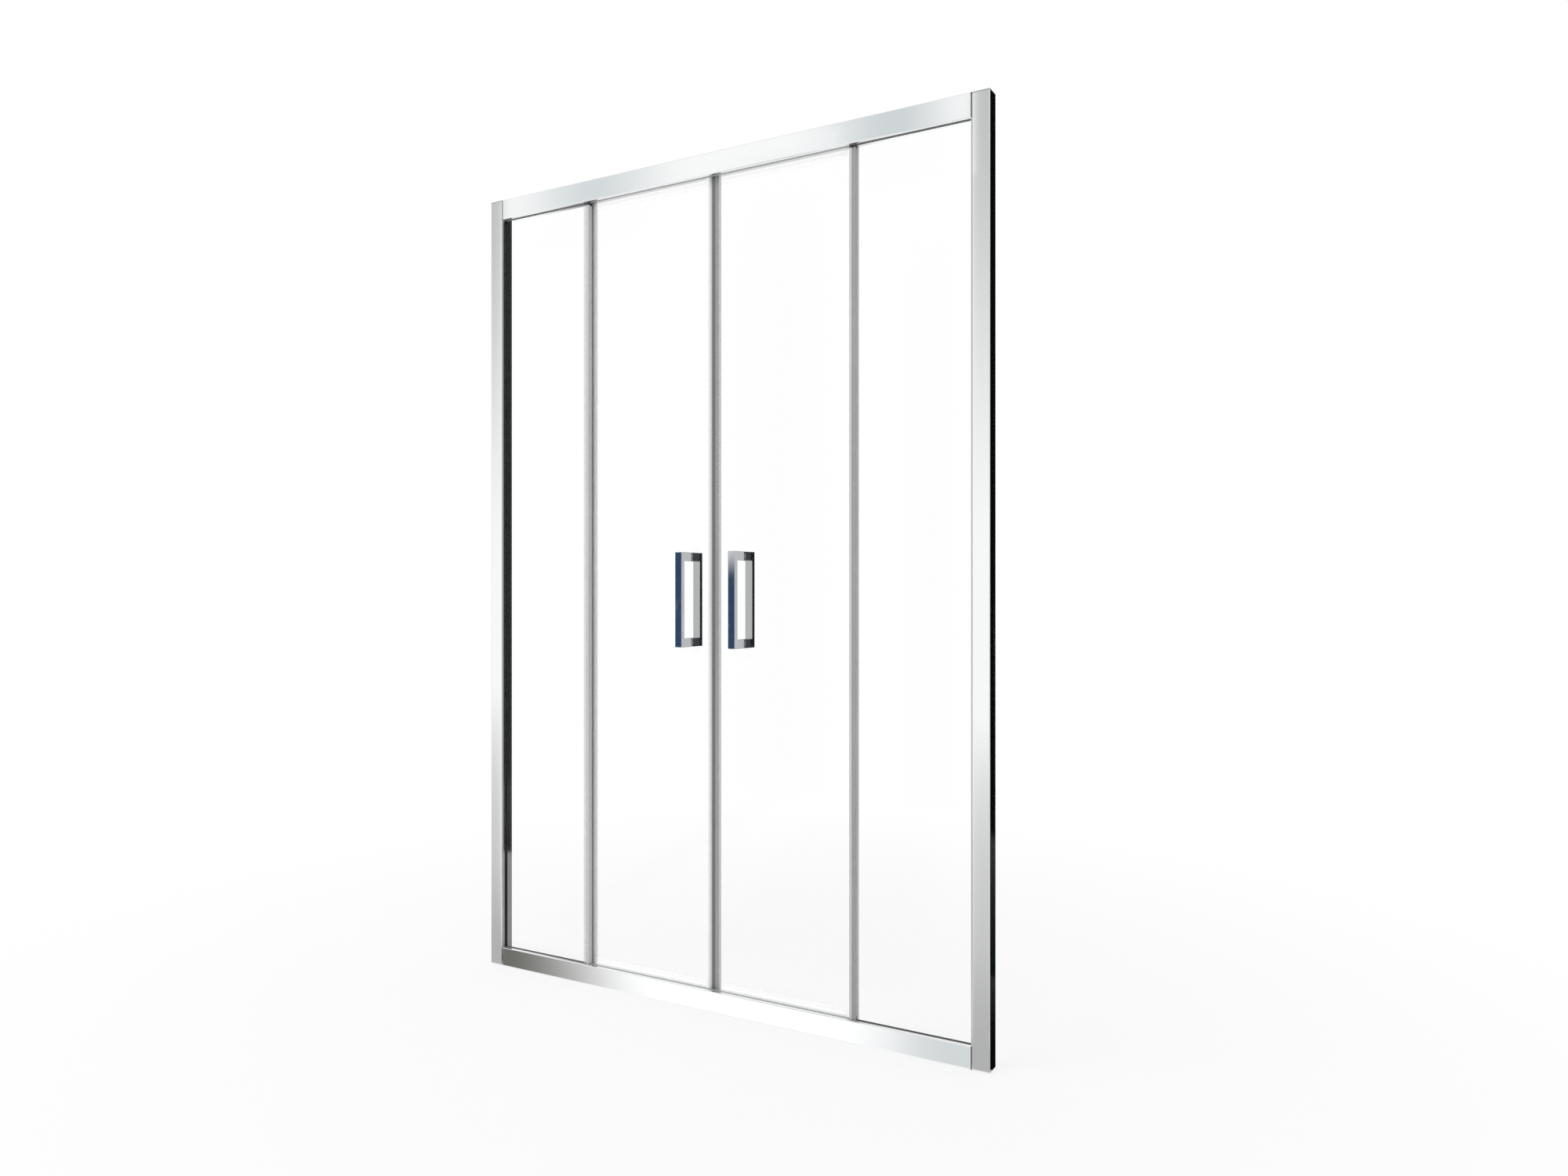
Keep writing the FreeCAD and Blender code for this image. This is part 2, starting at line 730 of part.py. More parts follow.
def nose_hollow(side, gap):
    """Return the hollow of the meeting seal's nose, drawn in by a gap."""
    wall = size.nose_wall + gap
    near, far = size.lead_gap + wall, lead_glass - wall
    outer, inner = slide_middle - size.nose_half_depth, slide_middle + size.nose_half_depth
    return rectangle(side * near, outer + wall, side * far, inner - wall)


def magnet_strip(side, name):
    """Magnet strip that fills the hollow of the meeting seal."""
    Piece(name).add("XY_Plane", seal_bottom, seal_top, nose_hollow(side, size.magnet_gap))


def trailing_seal(side, name):
    """Clip-on seal on the trailing edge, with a fin that hooks behind the fixed pane's fin."""
    end, edge = side * trail_end, side * trail_glass
    leg_end = side * (trail_end - size.trail_seal_width)
    outer, inner = slide_front - size.seal_leg, slide_back + size.seal_leg
    clip = Polygon([
        (end, outer), (end, inner), (leg_end, inner), (leg_end, slide_back),
        (edge, slide_back), (edge, slide_front), (leg_end, slide_front), (leg_end, outer),
    ])
    tip = fixed_back + size.seal_leg + size.trail_fin_clearance
    low, high = size.sill_face + size.trail_fin_inset, header_bottom - size.trail_fin_inset
    fin = Polygon([
        (outer, low), (outer, high), (tip, high - size.trail_fin_slope),
        (tip, low + size.trail_fin_slope),
    ])
    piece = Piece(name).add("XY_Plane", seal_bottom, seal_top, clip)
    piece.add("YZ_Plane", *span(side, trail_end - size.trail_fin_thickness, trail_end), fin)


def splash_strip(side, name, face, away):
    """Strip with a bead on the outer face of a sliding pane, beside a rail."""
    inner = slide_front
    outer, nose = inner - size.strip_thickness, inner - size.strip_bead
    end, hidden = face + away * size.strip_height, face - away * size.strip_hidden
    near = face + away * size.strip_bead_lift
    far = near + away * size.strip_bead
    section = Polygon([
        (inner, hidden), (inner, end), (outer, end), (outer, far),
        (nose, far), (nose, near), (outer, near), (outer, hidden),
    ])
    low = size.lead_gap + size.lead_seal_width + size.strip_end_gap
    high = trail_end - size.trail_seal_width - size.strip_end_gap
    Piece(name).add("YZ_Plane", *span(side, low, high), section)


def handle(side, name, base, outward):
    """Square D handle on one face of a sliding pane; its legs are bored for the studs."""
    tip = base + outward * size.handle_standoff
    grip = tip - outward * size.handle_grip
    leg_low, leg_high = handle_bottom + size.handle_leg, handle_top - size.handle_leg
    section = Polygon([
        (base, handle_bottom), (tip, handle_bottom), (tip, handle_top), (base, handle_top),
        (base, leg_high), (grip, leg_high), (grip, leg_low), (base, leg_low),
    ])
    centre = side * size.handle_place
    low, high = centre - size.handle_width / 2, centre + size.handle_width / 2
    piece = Piece(name).add("YZ_Plane", low, high, section)

    def off_the_base(edge):
        return max(abs(vertex.Y - base.value) for vertex in edge.Vertexes) > 1e-6

    piece.round_edges(size.handle_edge, off_the_base)
    depth = size.handle_bolt_bite + size.handle_bolt_end_gap
    bores = [
        Circle(centre, z, size.handle_bolt_radius + size.running_fit) for z in bolt_heights
    ]
    ends = (base, base + depth) if outward > 0 else (base - depth, base)
    piece.cut("XZ_Plane", *ends, *bores)


def handle_studs(side, name):
    """Threaded studs that join the outer and inner handle through the glass."""
    centre = side * size.handle_place
    bolts = [Circle(centre, z, size.handle_bolt_radius) for z in bolt_heights]
    low, high = outer_base - size.handle_bolt_bite, inner_base + size.handle_bolt_bite
    Piece(name).add("XZ_Plane", low, high, *bolts)


def glass_washers(side, name):
    """Clear washers on both faces of a sliding pane, under the handles and the axle studs."""
    centre = side * size.handle_place
    fit = size.running_fit
    rings = []
    for z in bolt_heights:
        rings += ring(centre, z, size.handle_washer_radius, size.handle_bolt_radius + fit)
    for places in stud_places.values():
        for x, z in places:
            rings += ring(side * x, z, size.stud_washer_radius, size.stud_radius + fit)
    piece = Piece(name).add("XZ_Plane", outer_base, slide_front, *rings)
    piece.add("XZ_Plane", slide_back, inner_base, *rings)


def roller_studs(side, name):
    """Axle studs through a sliding pane: threaded end, flange, shoulder and axle."""
    shoulder_end = {UPPER: bearing_front, LOWER: wheel_front}
    piece = Piece(name)
    for level, places in stud_places.items():
        points = [(side * x, z) for x, z in places]
        stages = (
            (nut_front, flange_front, size.stud_radius),
            (flange_front, flange_back, size.stud_flange_radius),
            (flange_back, shoulder_end[level] - size.shoulder_gap, size.stud_shoulder_radius),
            (shoulder_end[level] - size.shoulder_gap, axle_end, size.axle_radius),
        )
        for start, end, radius in stages:
            piece.add("XZ_Plane", start, end, *[Circle(x, z, radius) for x, z in points])


def stud_nuts(side, name):
    """Thin hexagon nuts on the outer ends of the axle studs."""
    outlines = []
    for places in stud_places.values():
        for x, z in places:
            outlines += [hexagon(side * x, z, size.nut_radius)]
            outlines += [Circle(side * x, z, size.stud_radius + size.nut_gap)]
    Piece(name).add("XZ_Plane", nut_front, nut_back, *outlines)


def axle_clips(side, name):
    """Retaining rings that keep the wheels on their axles."""
    bore = size.axle_radius + size.running_fit
    outlines = []
    for places in stud_places.values():
        for x, z in places:
            outlines += ring(side * x, z, size.clip_radius, bore)
    Piece(name).add("XZ_Plane", clip_front, clip_front + size.clip_thickness, *outlines)


def wheel_rim_points():
    """Return the outer corners of a wheel's section, from its front face to its back face."""
    half_width, floor = size.wheel_width / 2, size.groove_floor / 2
    rim = half_width - size.wheel_rim
    return [
        (-half_width, size.wheel_radius), (-rim, size.wheel_radius), (-floor, size.groove_radius),
        (floor, size.groove_radius), (rim, size.wheel_radius), (half_width, size.wheel_radius),
    ]


def hanging_wheel(x, name):
    """Grooved wheel of the header, bored for a ball bearing against a lip."""
    half_width, seat = size.wheel_width / 2, size.bearing_width / 2
    lip = size.bearing_radius - size.bearing_lip
    bore = [
        (half_width, size.bearing_radius), (-seat, size.bearing_radius), (-seat, lip),
        (-half_width, lip),
    ]
    Piece(name).revolve(Polygon(wheel_rim_points() + bore)).place(x, track, axis_height[UPPER])


def guide_wheel(x, name):
    """Grooved wheel of the sill, running straight on its axle."""
    half_width, bore_radius = size.wheel_width / 2, size.axle_radius + size.running_fit
    bore = [(half_width, bore_radius), (-half_width, bore_radius)]
    Piece(name).revolve(Polygon(wheel_rim_points() + bore)).place(x, track, axis_height[LOWER])


def wheel_bearing(x, name):
    """Shielded ball bearing pressed into a hanging wheel."""
    half_width = size.bearing_width / 2
    shield = half_width - size.bearing_shield_sink
    bore, outer = size.axle_radius + size.running_fit, size.bearing_radius
    inner_ring, outer_ring = bore + size.bearing_ring, outer - size.bearing_ring
    profile = Polygon([
        (-half_width, bore), (-half_width, inner_ring), (-shield, inner_ring), (-shield, outer_ring),
        (-half_width, outer_ring), (-half_width, outer), (half_width, outer),
        (half_width, outer_ring), (shield, outer_ring), (shield, inner_ring),
        (half_width, inner_ring), (half_width, bore),
    ])
    Piece(name).revolve(profile).place(x, track, axis_height[UPPER])


def build_frame():
    """Build the fixed frame with its panes, gaskets and fastenings."""
    header_rail("header_rail")
    sill_rail("sill_rail")
    for word, side in SIDES.items():
        wall_channel(side, f"{word}_wall_channel")
        frame_post(side, f"{word}_frame_post")
        fixed_glass(side, f"{word}_fixed_glass")
        post_gasket(side, f"{word}_post_gasket")
        fixed_edge_seal(side, f"{word}_fixed_edge_seal")
    proud, bite = size.gasket_proud, size.glass_bite
    rail_gaskets("header_gaskets", header_bottom - proud, header_bottom + bite, header_slot_top)
    rail_gaskets("sill_gaskets", size.sill_face + proud, size.sill_face - bite, sill_slot_floor)
    infill_strip("header_infill", header_bottom, 1)
    infill_strip("sill_infill", size.sill_face, -1)
    jamb_caps("jamb_caps")
    rail_end_caps("rail_end_caps")
    corner_screws("corner_screws")
    jamb_screws("jamb_screws")
    door_stops("door_stops")


def build_door(word, side):
    """Build one sliding pane with all that travels on it."""
    sliding_glass(side, f"{word}_sliding_glass")
    meeting_seal(side, f"{word}_meeting_seal")
    magnet_strip(side, f"{word}_magnet_strip")
    trailing_seal(side, f"{word}_trailing_seal")
    splash_strip(side, f"{word}_top_splash_strip", header_bottom, -1)
    splash_strip(side, f"{word}_bottom_splash_strip", size.sill_face, 1)
    handle(side, f"{word}_outer_handle", outer_base, -1)
    handle(side, f"{word}_inner_handle", inner_base, 1)
    handle_studs(side, f"{word}_handle_studs")
    glass_washers(side, f"{word}_glass_washers")
    roller_studs(side, f"{word}_roller_studs")
    stud_nuts(side, f"{word}_stud_nuts")
    axle_clips(side, f"{word}_axle_clips")
    for number, place in enumerate(wheel_places, start=1):
        hanging_wheel(side * place, f"{word}_hanging_wheel_{number}")
        wheel_bearing(side * place, f"{word}_wheel_bearing_{number}")
        guide_wheel(side * place, f"{word}_guide_wheel_{number}")


def write_parts():
    """Check every object and shape, then write one file for each sub-part."""
    DOC.recompute()
    for thing in DOC.Objects:
        if {"Invalid", "Error"} & set(thing.State):
            raise RuntimeError(f"{thing.Label} failed: {thing.State}")
    for piece in Piece.built:
        shape = piece.body.Shape
        if shape.isNull() or not shape.isValid() or not shape.Solids:
            raise RuntimeError(f"{piece.body.Label} has no sound solid")
    os.makedirs("parts", exist_ok=True)
    for piece in Piece.built:
        piece.body.Shape.exportStep(f"parts/{piece.body.Label}.step")
    print(len(Piece.built), "sub-parts written")


build_frame()
for door_word, door_side in SIDES.items():
    build_door(door_word, door_side)
write_parts()
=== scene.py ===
"""Looks of a framed sliding shower door with two fixed and two sliding panes.

Lengths are metres, in the door's own frame: X along the door, Y from the outside into the
shower, Z up, with the origin in the middle of the sill's underside.
"""

import logging
import math
from abc import ABC, abstractmethod
from dataclasses import dataclass, replace
from enum import Enum, StrEnum
from typing import Any, Callable, Iterator, Union

import bmesh
import bpy
from mathutils import Matrix, Vector


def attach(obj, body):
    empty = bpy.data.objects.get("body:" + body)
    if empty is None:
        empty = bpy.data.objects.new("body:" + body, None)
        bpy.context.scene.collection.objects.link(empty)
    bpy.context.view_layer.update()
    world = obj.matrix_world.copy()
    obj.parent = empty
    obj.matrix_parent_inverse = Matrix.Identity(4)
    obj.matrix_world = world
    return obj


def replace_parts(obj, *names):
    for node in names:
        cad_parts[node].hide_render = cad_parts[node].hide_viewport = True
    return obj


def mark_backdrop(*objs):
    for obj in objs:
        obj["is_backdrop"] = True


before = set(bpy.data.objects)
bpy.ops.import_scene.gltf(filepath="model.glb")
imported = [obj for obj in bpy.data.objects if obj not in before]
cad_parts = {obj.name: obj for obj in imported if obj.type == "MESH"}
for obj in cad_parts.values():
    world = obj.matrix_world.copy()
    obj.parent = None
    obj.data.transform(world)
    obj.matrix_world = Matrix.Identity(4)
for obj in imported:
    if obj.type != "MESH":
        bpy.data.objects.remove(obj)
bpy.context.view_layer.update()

LOG = logging.getLogger("shower_door")
MM = 0.001
MICRON = 0.001 * MM
MID_HEIGHT = 948.5 * MM
RAIL_REACH = 902.7 * MM
NEAR = MICRON
MERGE_GAP = 0.1 * MICRON
LOOKS_ALONG = 0.9
SMOOTH_ANGLE = math.radians(32)
QUARTER_TURN = math.radians(90)
WHITE = (1.0, 1.0, 1.0)

Colour = tuple[float, float, float]
Point = tuple[float, float, float]
Part = Union[bmesh.types.BMFace, bmesh.types.BMEdge]
Test = Callable[[Part], bool]
Term = Union["Wire", float]
Tint = Union["Wire", Colour]


def grey(tone: float) -> Colour:
    """Return a colour of three equal parts."""
    return (tone, tone, tone)


class Side(StrEnum):
    """A side of the door, seen from outside."""

    LEFT = "left"
    RIGHT = "right"

    @property
    def sign(self) -> int:
        """Return the side's sign along X."""
        return -1 if self is Side.LEFT else 1


class Grain(Enum):
    """A fine pattern: its changes per metre along X, Y and Z, its layers, their strength."""

    DIE_LINES_X = ((1.2, 420.0, 420.0), 4.0, 0.6)
    DIE_LINES_Z = ((420.0, 420.0, 1.2), 4.0, 0.6)
    WEAR = (grey(3.0), 2.0, 0.5)
    TOUCH = ((38.0, 38.0, 26.0), 5.0, 0.65)
    RIPPLE = ((22.0, 22.0, 14.0), 1.0, 0.5)
    TOOL_MARKS = ((900.0, 2600.0, 900.0), 3.0, 0.5)
    STAIN = (grey(120.0), 3.0, 0.5)
    HAZE = ((9.0, 9.0, 5.0), 4.0, 0.6)
    FROST = (grey(900.0), 2.0, 0.5)
    CLOUDS = (grey(5.0), 3.0, 0.5)
    SKIN = (grey(1500.0), 2.0, 0.5)
    MOTTLE = (grey(60.0), 3.0, 0.5)


class Facing(Enum):
    """The plane that a studio card lies in, as the two axes along it."""

    UPRIGHT = (0, 2)
    SIDE = (1, 2)
    FLAT = (0, 1)


class Wire:
    """A socket's value in a shader, which takes part in Python sums."""

    def __init__(self, desk: "NodeDesk", socket: bpy.types.NodeSocket) -> None:
        """Hold the desk and the output socket."""
        self.desk = desk
        self.socket = socket

    def __add__(self, other: Term) -> "Wire":
        """Return self + other."""
        return self.desk.sum("ADD", self, other)

    def __radd__(self, other: Term) -> "Wire":
        """Return other + self."""
        return self.desk.sum("ADD", other, self)

    def __sub__(self, other: Term) -> "Wire":
        """Return self - other."""
        return self.desk.sum("SUBTRACT", self, other)

    def __rsub__(self, other: Term) -> "Wire":
        """Return other - self."""
        return self.desk.sum("SUBTRACT", other, self)

    def __mul__(self, other: Term) -> "Wire":
        """Return self * other."""
        return self.desk.sum("MULTIPLY", self, other)

    def __rmul__(self, other: Term) -> "Wire":
        """Return other * self."""
        return self.desk.sum("MULTIPLY", other, self)

    def __truediv__(self, other: Term) -> "Wire":
        """Return self / other."""
        return self.desk.sum("DIVIDE", self, other)

    def __pow__(self, other: Term) -> "Wire":
        """Return self ** other."""
        return self.desk.sum("POWER", self, other)

    def __abs__(self) -> "Wire":
        """Return the value without its sign."""
        return self.desk.sum("ABSOLUTE", self)

    def __lt__(self, other: Term) -> "Wire":
        """Return 1 where self is less than other, else 0."""
        return self.desk.sum("LESS_THAN", self, other)

    def __gt__(self, other: Term) -> "Wire":
        """Return 1 where self is greater than other, else 0."""
        return self.desk.sum("GREATER_THAN", self, other)


class NodeDesk:
    """A node tree laid out by Python expressions."""

    def __init__(self, tree: bpy.types.NodeTree) -> None:
        """Clear the tree and keep it."""
        self.tree = tree
        tree.nodes.clear()

    def node(self, kind: str, settings: dict[str, Any] | None = None,
             values: dict[str | int, Any] | None = None) -> bpy.types.Node:
        """Add a node.

        Args:
            kind: the node's type, without the leading ShaderNode.
            settings: its properties, or "stops" for a ramp's (place, colour) pairs.
            values: numbers, colours or wires for its input sockets.

        Returns:
            The new node.
        """
        node = self.tree.nodes.new("ShaderNode" + kind)
        for key, value in (settings or {}).items():
            if key == "stops":
                elements = node.color_ramp.elements
                while len(elements) < len(value):
                    elements.new(1.0)
                for element, (place, colour) in zip(elements, value):
                    element.position, element.color = place, (*colour, 1.0)
            else:
                setattr(node, key, value)
        for key, value in (values or {}).items():
            socket = node.inputs[key]
            if isinstance(value, Wire):
                self.tree.links.new(value.socket, socket)
            else:
                short = isinstance(value, tuple) and len(value) == 3 and socket.type == "RGBA"
                socket.default_value = (*value, 1.0) if short else value
        return node

    def wire(self, kind: str, settings: dict[str, Any] | None = None,
             values: dict[str | int, Any] | None = None, out: str | int = 0) -> Wire:
        """Add a node as node() does and return one of its outputs, by name or number."""
        return Wire(self, self.node(kind, settings, values).outputs[out])

    def sum(self, operation: str, *terms: Term) -> Wire:
        """Return the result of one Math node on wires and numbers."""
        return self.wire("Math", {"operation": operation}, dict(enumerate(terms)))

    def clamp(self, value: Wire) -> Wire:
        """Return a wire kept from 0 to 1."""
        return self.wire("Clamp", None, {"Value": value})

    def blend(self, first: Tint, second: Tint, share: Term) -> Wire:
        """Return the first colour moved to the second one by a share from 0 to 1."""
        return self.wire("Mix", {"data_type": "RGBA"}, {0: share, 6: first, 7: second}, 2)

    def fade(self, value: Wire, start: float, end: float, low: float = 0.0) -> Wire:
        """Return a soft step along a value, from low at its start to 1 at its end."""
        values = {"Value": value, "From Min": start, "From Max": end, "To Min": low}
        return self.wire("MapRange", {"interpolation_type": "SMOOTHSTEP"}, values)

    def place(self) -> Wire:
        """Return the place on the object, in metres."""
        return self.wire("TexCoord", None, None, "Object")

    def parts(self, vector: Wire) -> tuple[Wire, Wire, Wire]:
        """Return a vector's X, Y and Z."""
        node = self.node("SeparateXYZ", None, {0: vector})
        return tuple(Wire(self, out) for out in node.outputs)

    def noise(self, grain: Grain) -> Wire:
        """Return a cloudy pattern on the object.

        Args:
            grain: the pattern's kind.

        Returns:
            The pattern's value, from 0 to 1.
        """
        scales, layers, strength = grain.value
        vector = self.wire("VectorMath", {"operation": "MULTIPLY"}, {0: self.place(), 1: scales})
        values = {"Vector": vector, "Scale": 1.0, "Detail": layers, "Roughness": strength}
        return self.wire("TexNoise", None, values, "Fac")

    def bump(self, height: Wire, depth: float, strength: float) -> Wire:
        """Return a normal for a height from 0 to 1, its depth in metres and the share that shows."""
        values = {"Strength": strength, "Distance": depth, "Height": height}
        return self.wire("Bump", None, values)

    def seen(self) -> Wire:
        """Find rays of the eye, of polished metal and through glass.

        Returns:
            1 for them, else 0.
        """
        path = self.node("LightPath").outputs
        eye, gloss, glass = (Wire(self, path[f"Is {kind} Ray"])
                             for kind in ("Camera", "Glossy", "Transmission"))
        return self.clamp(eye + gloss + glass)

    def finish(self, shader: Wire) -> None:
        """Join the shader to the material's output."""
        self.node("OutputMaterial", None, {"Surface": shader})


@dataclass(frozen=True)
class Finish(ABC):
    """What a surface is made of."""

    name: str

    def material(self) -> bpy.types.Material:
        """Make the finish's material at its first use.

        Returns:
            The material.
        """
        if self not in MADE:
            made = MADE[self] = bpy.data.materials.new(self.name)
            made.use_nodes = True
            desk = NodeDesk(made.node_tree)
            desk.finish(self.shader(desk))
        return MADE[self]

    @abstractmethod
    def shader(self, desk: NodeDesk) -> Wire:
        """Lay out the nodes on a desk and return the shader."""


@dataclass(frozen=True)
class DrawnMetal(Finish):
    """Aluminium profile with the fine lines that the die leaves along it, then polished."""

    colour: Colour
    shade: Colour
    grain: Grain
    roughness: float
    spread: float
    line_depth: float
    recess: float | None = None
    # Painted shade: the colour and strengths of the dark put on the recessed front face in the joint.
    painted_shade: Colour = grey(0.16)
    joint_shade: float = 0.4
    rail_end_shade: float = 0.5
    line_wear: float = 0.7
    cloud_wear: float = 0.5
    wear_start: float = 0.1
    line_show: float = 0.35

    def shader(self, desk: NodeDesk) -> Wire:
        """Lay out the nodes, with painted shade where the metal sits in the front joint.

        Args:
            desk: the material's node tree.

        Returns:
            The shader.
        """
        lines = desk.noise(self.grain)
        clouds = desk.noise(Grain.WEAR)
        worn = desk.clamp(lines * self.line_wear + clouds * self.cloud_wear - self.wear_start)
        colour = desk.blend(self.colour, self.shade, worn)
        # Painted shade: the recessed front face is darkened where it sits in the joint, and more where the
        # rails cover its ends.
        if self.recess is not None:
            place = desk.parts(desk.place())
            at_rails = abs(place[2] - MID_HEIGHT) > RAIL_REACH
            shade_share = (place[1] < self.recess) * (self.joint_shade + at_rails * self.rail_end_shade)
            colour = desk.blend(colour, self.painted_shade, shade_share)
        return desk.wire("BsdfPrincipled", None, {
            "Base Color": colour,
            "Metallic": 1.0,
            "Roughness": self.roughness + lines * self.spread + clouds * (self.spread / 2),
            "Normal": desk.bump(lines, self.line_depth, self.line_show),
        })


@dataclass(frozen=True)
class Chrome(Finish):
    """Bright plating with a trace of touch on it."""

    colour: Colour
    roughness: float
    touch: float
    dulled: float = 0.93
    print_level: float = 0.52
    print_contrast: float = 4.0
    ripple_depth: float = 40.0 * MICRON
    ripple_show: float = 0.25

    def shader(self, desk: NodeDesk) -> Wire:
        """Lay out the nodes, duller where it was touched.

        Args:
            desk: the material's node tree.

        Returns:
            The shader.
        """
        film = desk.clamp((desk.noise(Grain.TOUCH) - self.print_level) * self.print_contrast)
        dull = tuple(self.dulled * part for part in self.colour)
        return desk.wire("BsdfPrincipled", None, {
            "Base Color": desk.blend(self.colour, dull, film),
            "Metallic": 1.0,
            "Roughness": self.roughness + film * self.touch,
            "Normal": desk.bump(desk.noise(Grain.RIPPLE), self.ripple_depth, self.ripple_show),
        })


@dataclass(frozen=True)
class TurnedSteel(Finish):
    """Stainless steel with fine tool marks."""

    colour: Colour
    roughness: float
    spread: float = 0.14
    tarnish: float = 0.72
    mark_depth: float = 20.0 * MICRON
    mark_show: float = 0.5
    stain_contrast: float = 1.6
    stain_start: float = 0.5

    def shader(self, desk: NodeDesk) -> Wire:
        """Lay out the nodes, darker where the steel is stained.

        Args:
            desk: the material's node tree.

        Returns:
            The shader.
        """
        marks = desk.noise(Grain.TOOL_MARKS)
        stain = desk.clamp(desk.noise(Grain.STAIN) * self.stain_contrast - self.stain_start)
        dark = tuple(self.tarnish * part for part in self.colour)
        return desk.wire("BsdfPrincipled", None, {
            "Base Color": desk.blend(self.colour, dark, stain),
            "Metallic": 1.0,
            "Roughness": self.roughness + marks * self.spread,
            "Normal": desk.bump(marks, self.mark_depth, self.mark_show),
        })


@dataclass(frozen=True)
class ClearGlass(Finish):
    """Toughened glass: clear across the pane, green through its edges."""

    clear: Colour
    edge: Colour
    face_on: float
    rim_limit: float = 0.6
    polish: float = 0.005
    haze: float = 0.02
    slant_power: float = 5.0

    def shader(self, desk: NodeDesk) -> Wire:
        """Lay out the nodes, more of a mirror the flatter it is looked at.

        Args:
            desk: the material's node tree.

        Returns:
            The shader.
        """
        across = desk.parts(desk.wire("TexCoord", None, None, "Normal"))[1]
        through = desk.wire("BsdfTransparent", None, {"Color": self.clear})
        green = desk.wire("BsdfTransparent", None, {"Color": self.edge})
        rim = abs(across) < self.rim_limit
        body = desk.wire("MixShader", None, {0: rim, 1: through, 2: green})
        roughness = self.polish + desk.noise(Grain.HAZE) * self.haze
        gloss = desk.wire("BsdfGlossy", None, {"Color": WHITE, "Roughness": roughness})
        slant = desk.wire("LayerWeight", None, None, "Facing")
        mirror = self.face_on + (slant ** self.slant_power) * (1.0 - self.face_on)
        return desk.wire("MixShader", None, {0: mirror, 1: body, 2: gloss})


@dataclass(frozen=True)
class FrostedStrip(Finish):
    """Clear plastic strip that is frosted white towards the rail that it runs in."""

    clear: Colour
    frost: Colour
    near: float
    far: float
    ends: tuple[float, float]
    opacity: float
    end_fade: float = 6.0 * MM
    roughness: float = 0.45
    spread: float = 0.2
    grain_depth: float = 20.0 * MICRON
    grain_show: float = 0.4
    # Painted light: the frosted part glows at this strength, as if lit through.
    glow: float = 0.2

    def shader(self, desk: NodeDesk) -> Wire:
        """Lay out the nodes, clear at both ends of the strip, with a painted glow where it is frosted.

        Args:
            desk: the material's node tree.

        Returns:
            The shader.
        """
        place = desk.parts(desk.place())
        along, rise = abs(place[0]), abs(place[2] - MID_HEIGHT)
        grain = desk.noise(Grain.FROST)
        first, last = self.ends
        share: Term = self.opacity
        for value, start, end in ((rise, self.near, self.far), (along, first, first + self.end_fade),
                                  (along, last, last - self.end_fade)):
            share = share * desk.fade(value, start, end)
        through = desk.wire("BsdfTransparent", None, {"Color": self.clear})
        white = desk.wire("BsdfPrincipled", None, {
            "Base Color": self.frost,
            "Roughness": self.roughness + grain * self.spread,
            "Normal": desk.bump(grain, self.grain_depth, self.grain_show),
            # Painted light: the frost glows a little, standing for light that real frosted plastic lets
            # through.
            "Emission Color": self.frost,
            "Emission Strength": self.glow,
        })
        return desk.wire("MixShader", None, {0: share, 1: through, 2: white})


@dataclass(frozen=True)
class DrawnPlastic(Finish):
    """Plastic profile with die lines along it."""

    colour: Colour
    shade: Colour
    grain: Grain
    roughness: float
    coat: float = 0.0
    dark_top_height: float = 0.0
    dark_top: Colour = grey(0.02)
    legs: tuple[float, float] = (0.0, 0.0)
    clearness: float = 0.0
    spread: float = 0.12
    line_depth: float = 80.0 * MICRON
    line_show: float = 0.5
    line_tone: float = 1.1
    cloud_tone: float = 0.4
    tone_start: float = 0.25

    def shader(self, desk: NodeDesk) -> Wire:
        """Lay out the nodes, near-black above any set height, with see-through legs.

        Args:
            desk: the material's node tree.

        Returns:
            The shader.
        """
        lines = desk.noise(self.grain)
        clouds = desk.noise(Grain.CLOUDS)
        tone = desk.clamp(lines * self.line_tone + clouds * self.cloud_tone - self.tone_start)
        colour = desk.blend(self.colour, self.shade, tone)
        # The strip is painted near-black above this height, where it runs up into the header.
        if self.dark_top_height:
            at_dark_top = desk.parts(desk.place())[2] > self.dark_top_height
            colour = desk.blend(colour, self.dark_top, at_dark_top)
        opacity: Term = 1.0
        if self.clearness:
            along = abs(desk.parts(desk.place())[0])
            opacity = 1.0 - (along > self.legs[0]) * (along < self.legs[1]) * self.clearness
        return desk.wire("BsdfPrincipled", None, {
            "Base Color": colour,
            "Roughness": self.roughness + lines * self.spread,
            "Coat Weight": self.coat,
            "Alpha": opacity,
            "Normal": desk.bump(lines, self.line_depth, self.line_show),
        })


@dataclass(frozen=True)
class NosePlastic(Finish):
    """Translucent plastic of the meeting seals, dark where the magnet shows through the nose."""

    tones: tuple[tuple[float, Colour], ...]
    reach: float
    roughness: float
    middle: float
    leg: float
    clearness: float
    spread: float = 0.12
    coat: float = 0.15
    wobble: float = 1.2 * MM
    line_depth: float = 60.0 * MICRON
    line_show: float = 0.5

    def shader(self, desk: NodeDesk) -> Wire:
        """Lay out the nodes, see-through in the legs on the glass.

        Args:
            desk: the material's node tree.

        Returns:
            The shader.
        """
        lines = desk.noise(Grain.DIE_LINES_Z)
        along = desk.parts(desk.place())[0]
        share = (abs(along - self.middle) + (lines - 0.5) * self.wobble) / self.reach
        stops = [(place / self.reach, colour) for place, colour in self.tones]
        return desk.wire("BsdfPrincipled", None, {
            "Base Color": desk.wire("ValToRGB", {"stops": stops}, {0: share}),
            "Roughness": self.roughness + lines * self.spread,
            "Coat Weight": self.coat,
            "Alpha": 1.0 - (abs(along) > self.leg) * self.clearness,
            "Normal": desk.bump(lines, self.line_depth, self.line_show),
        })


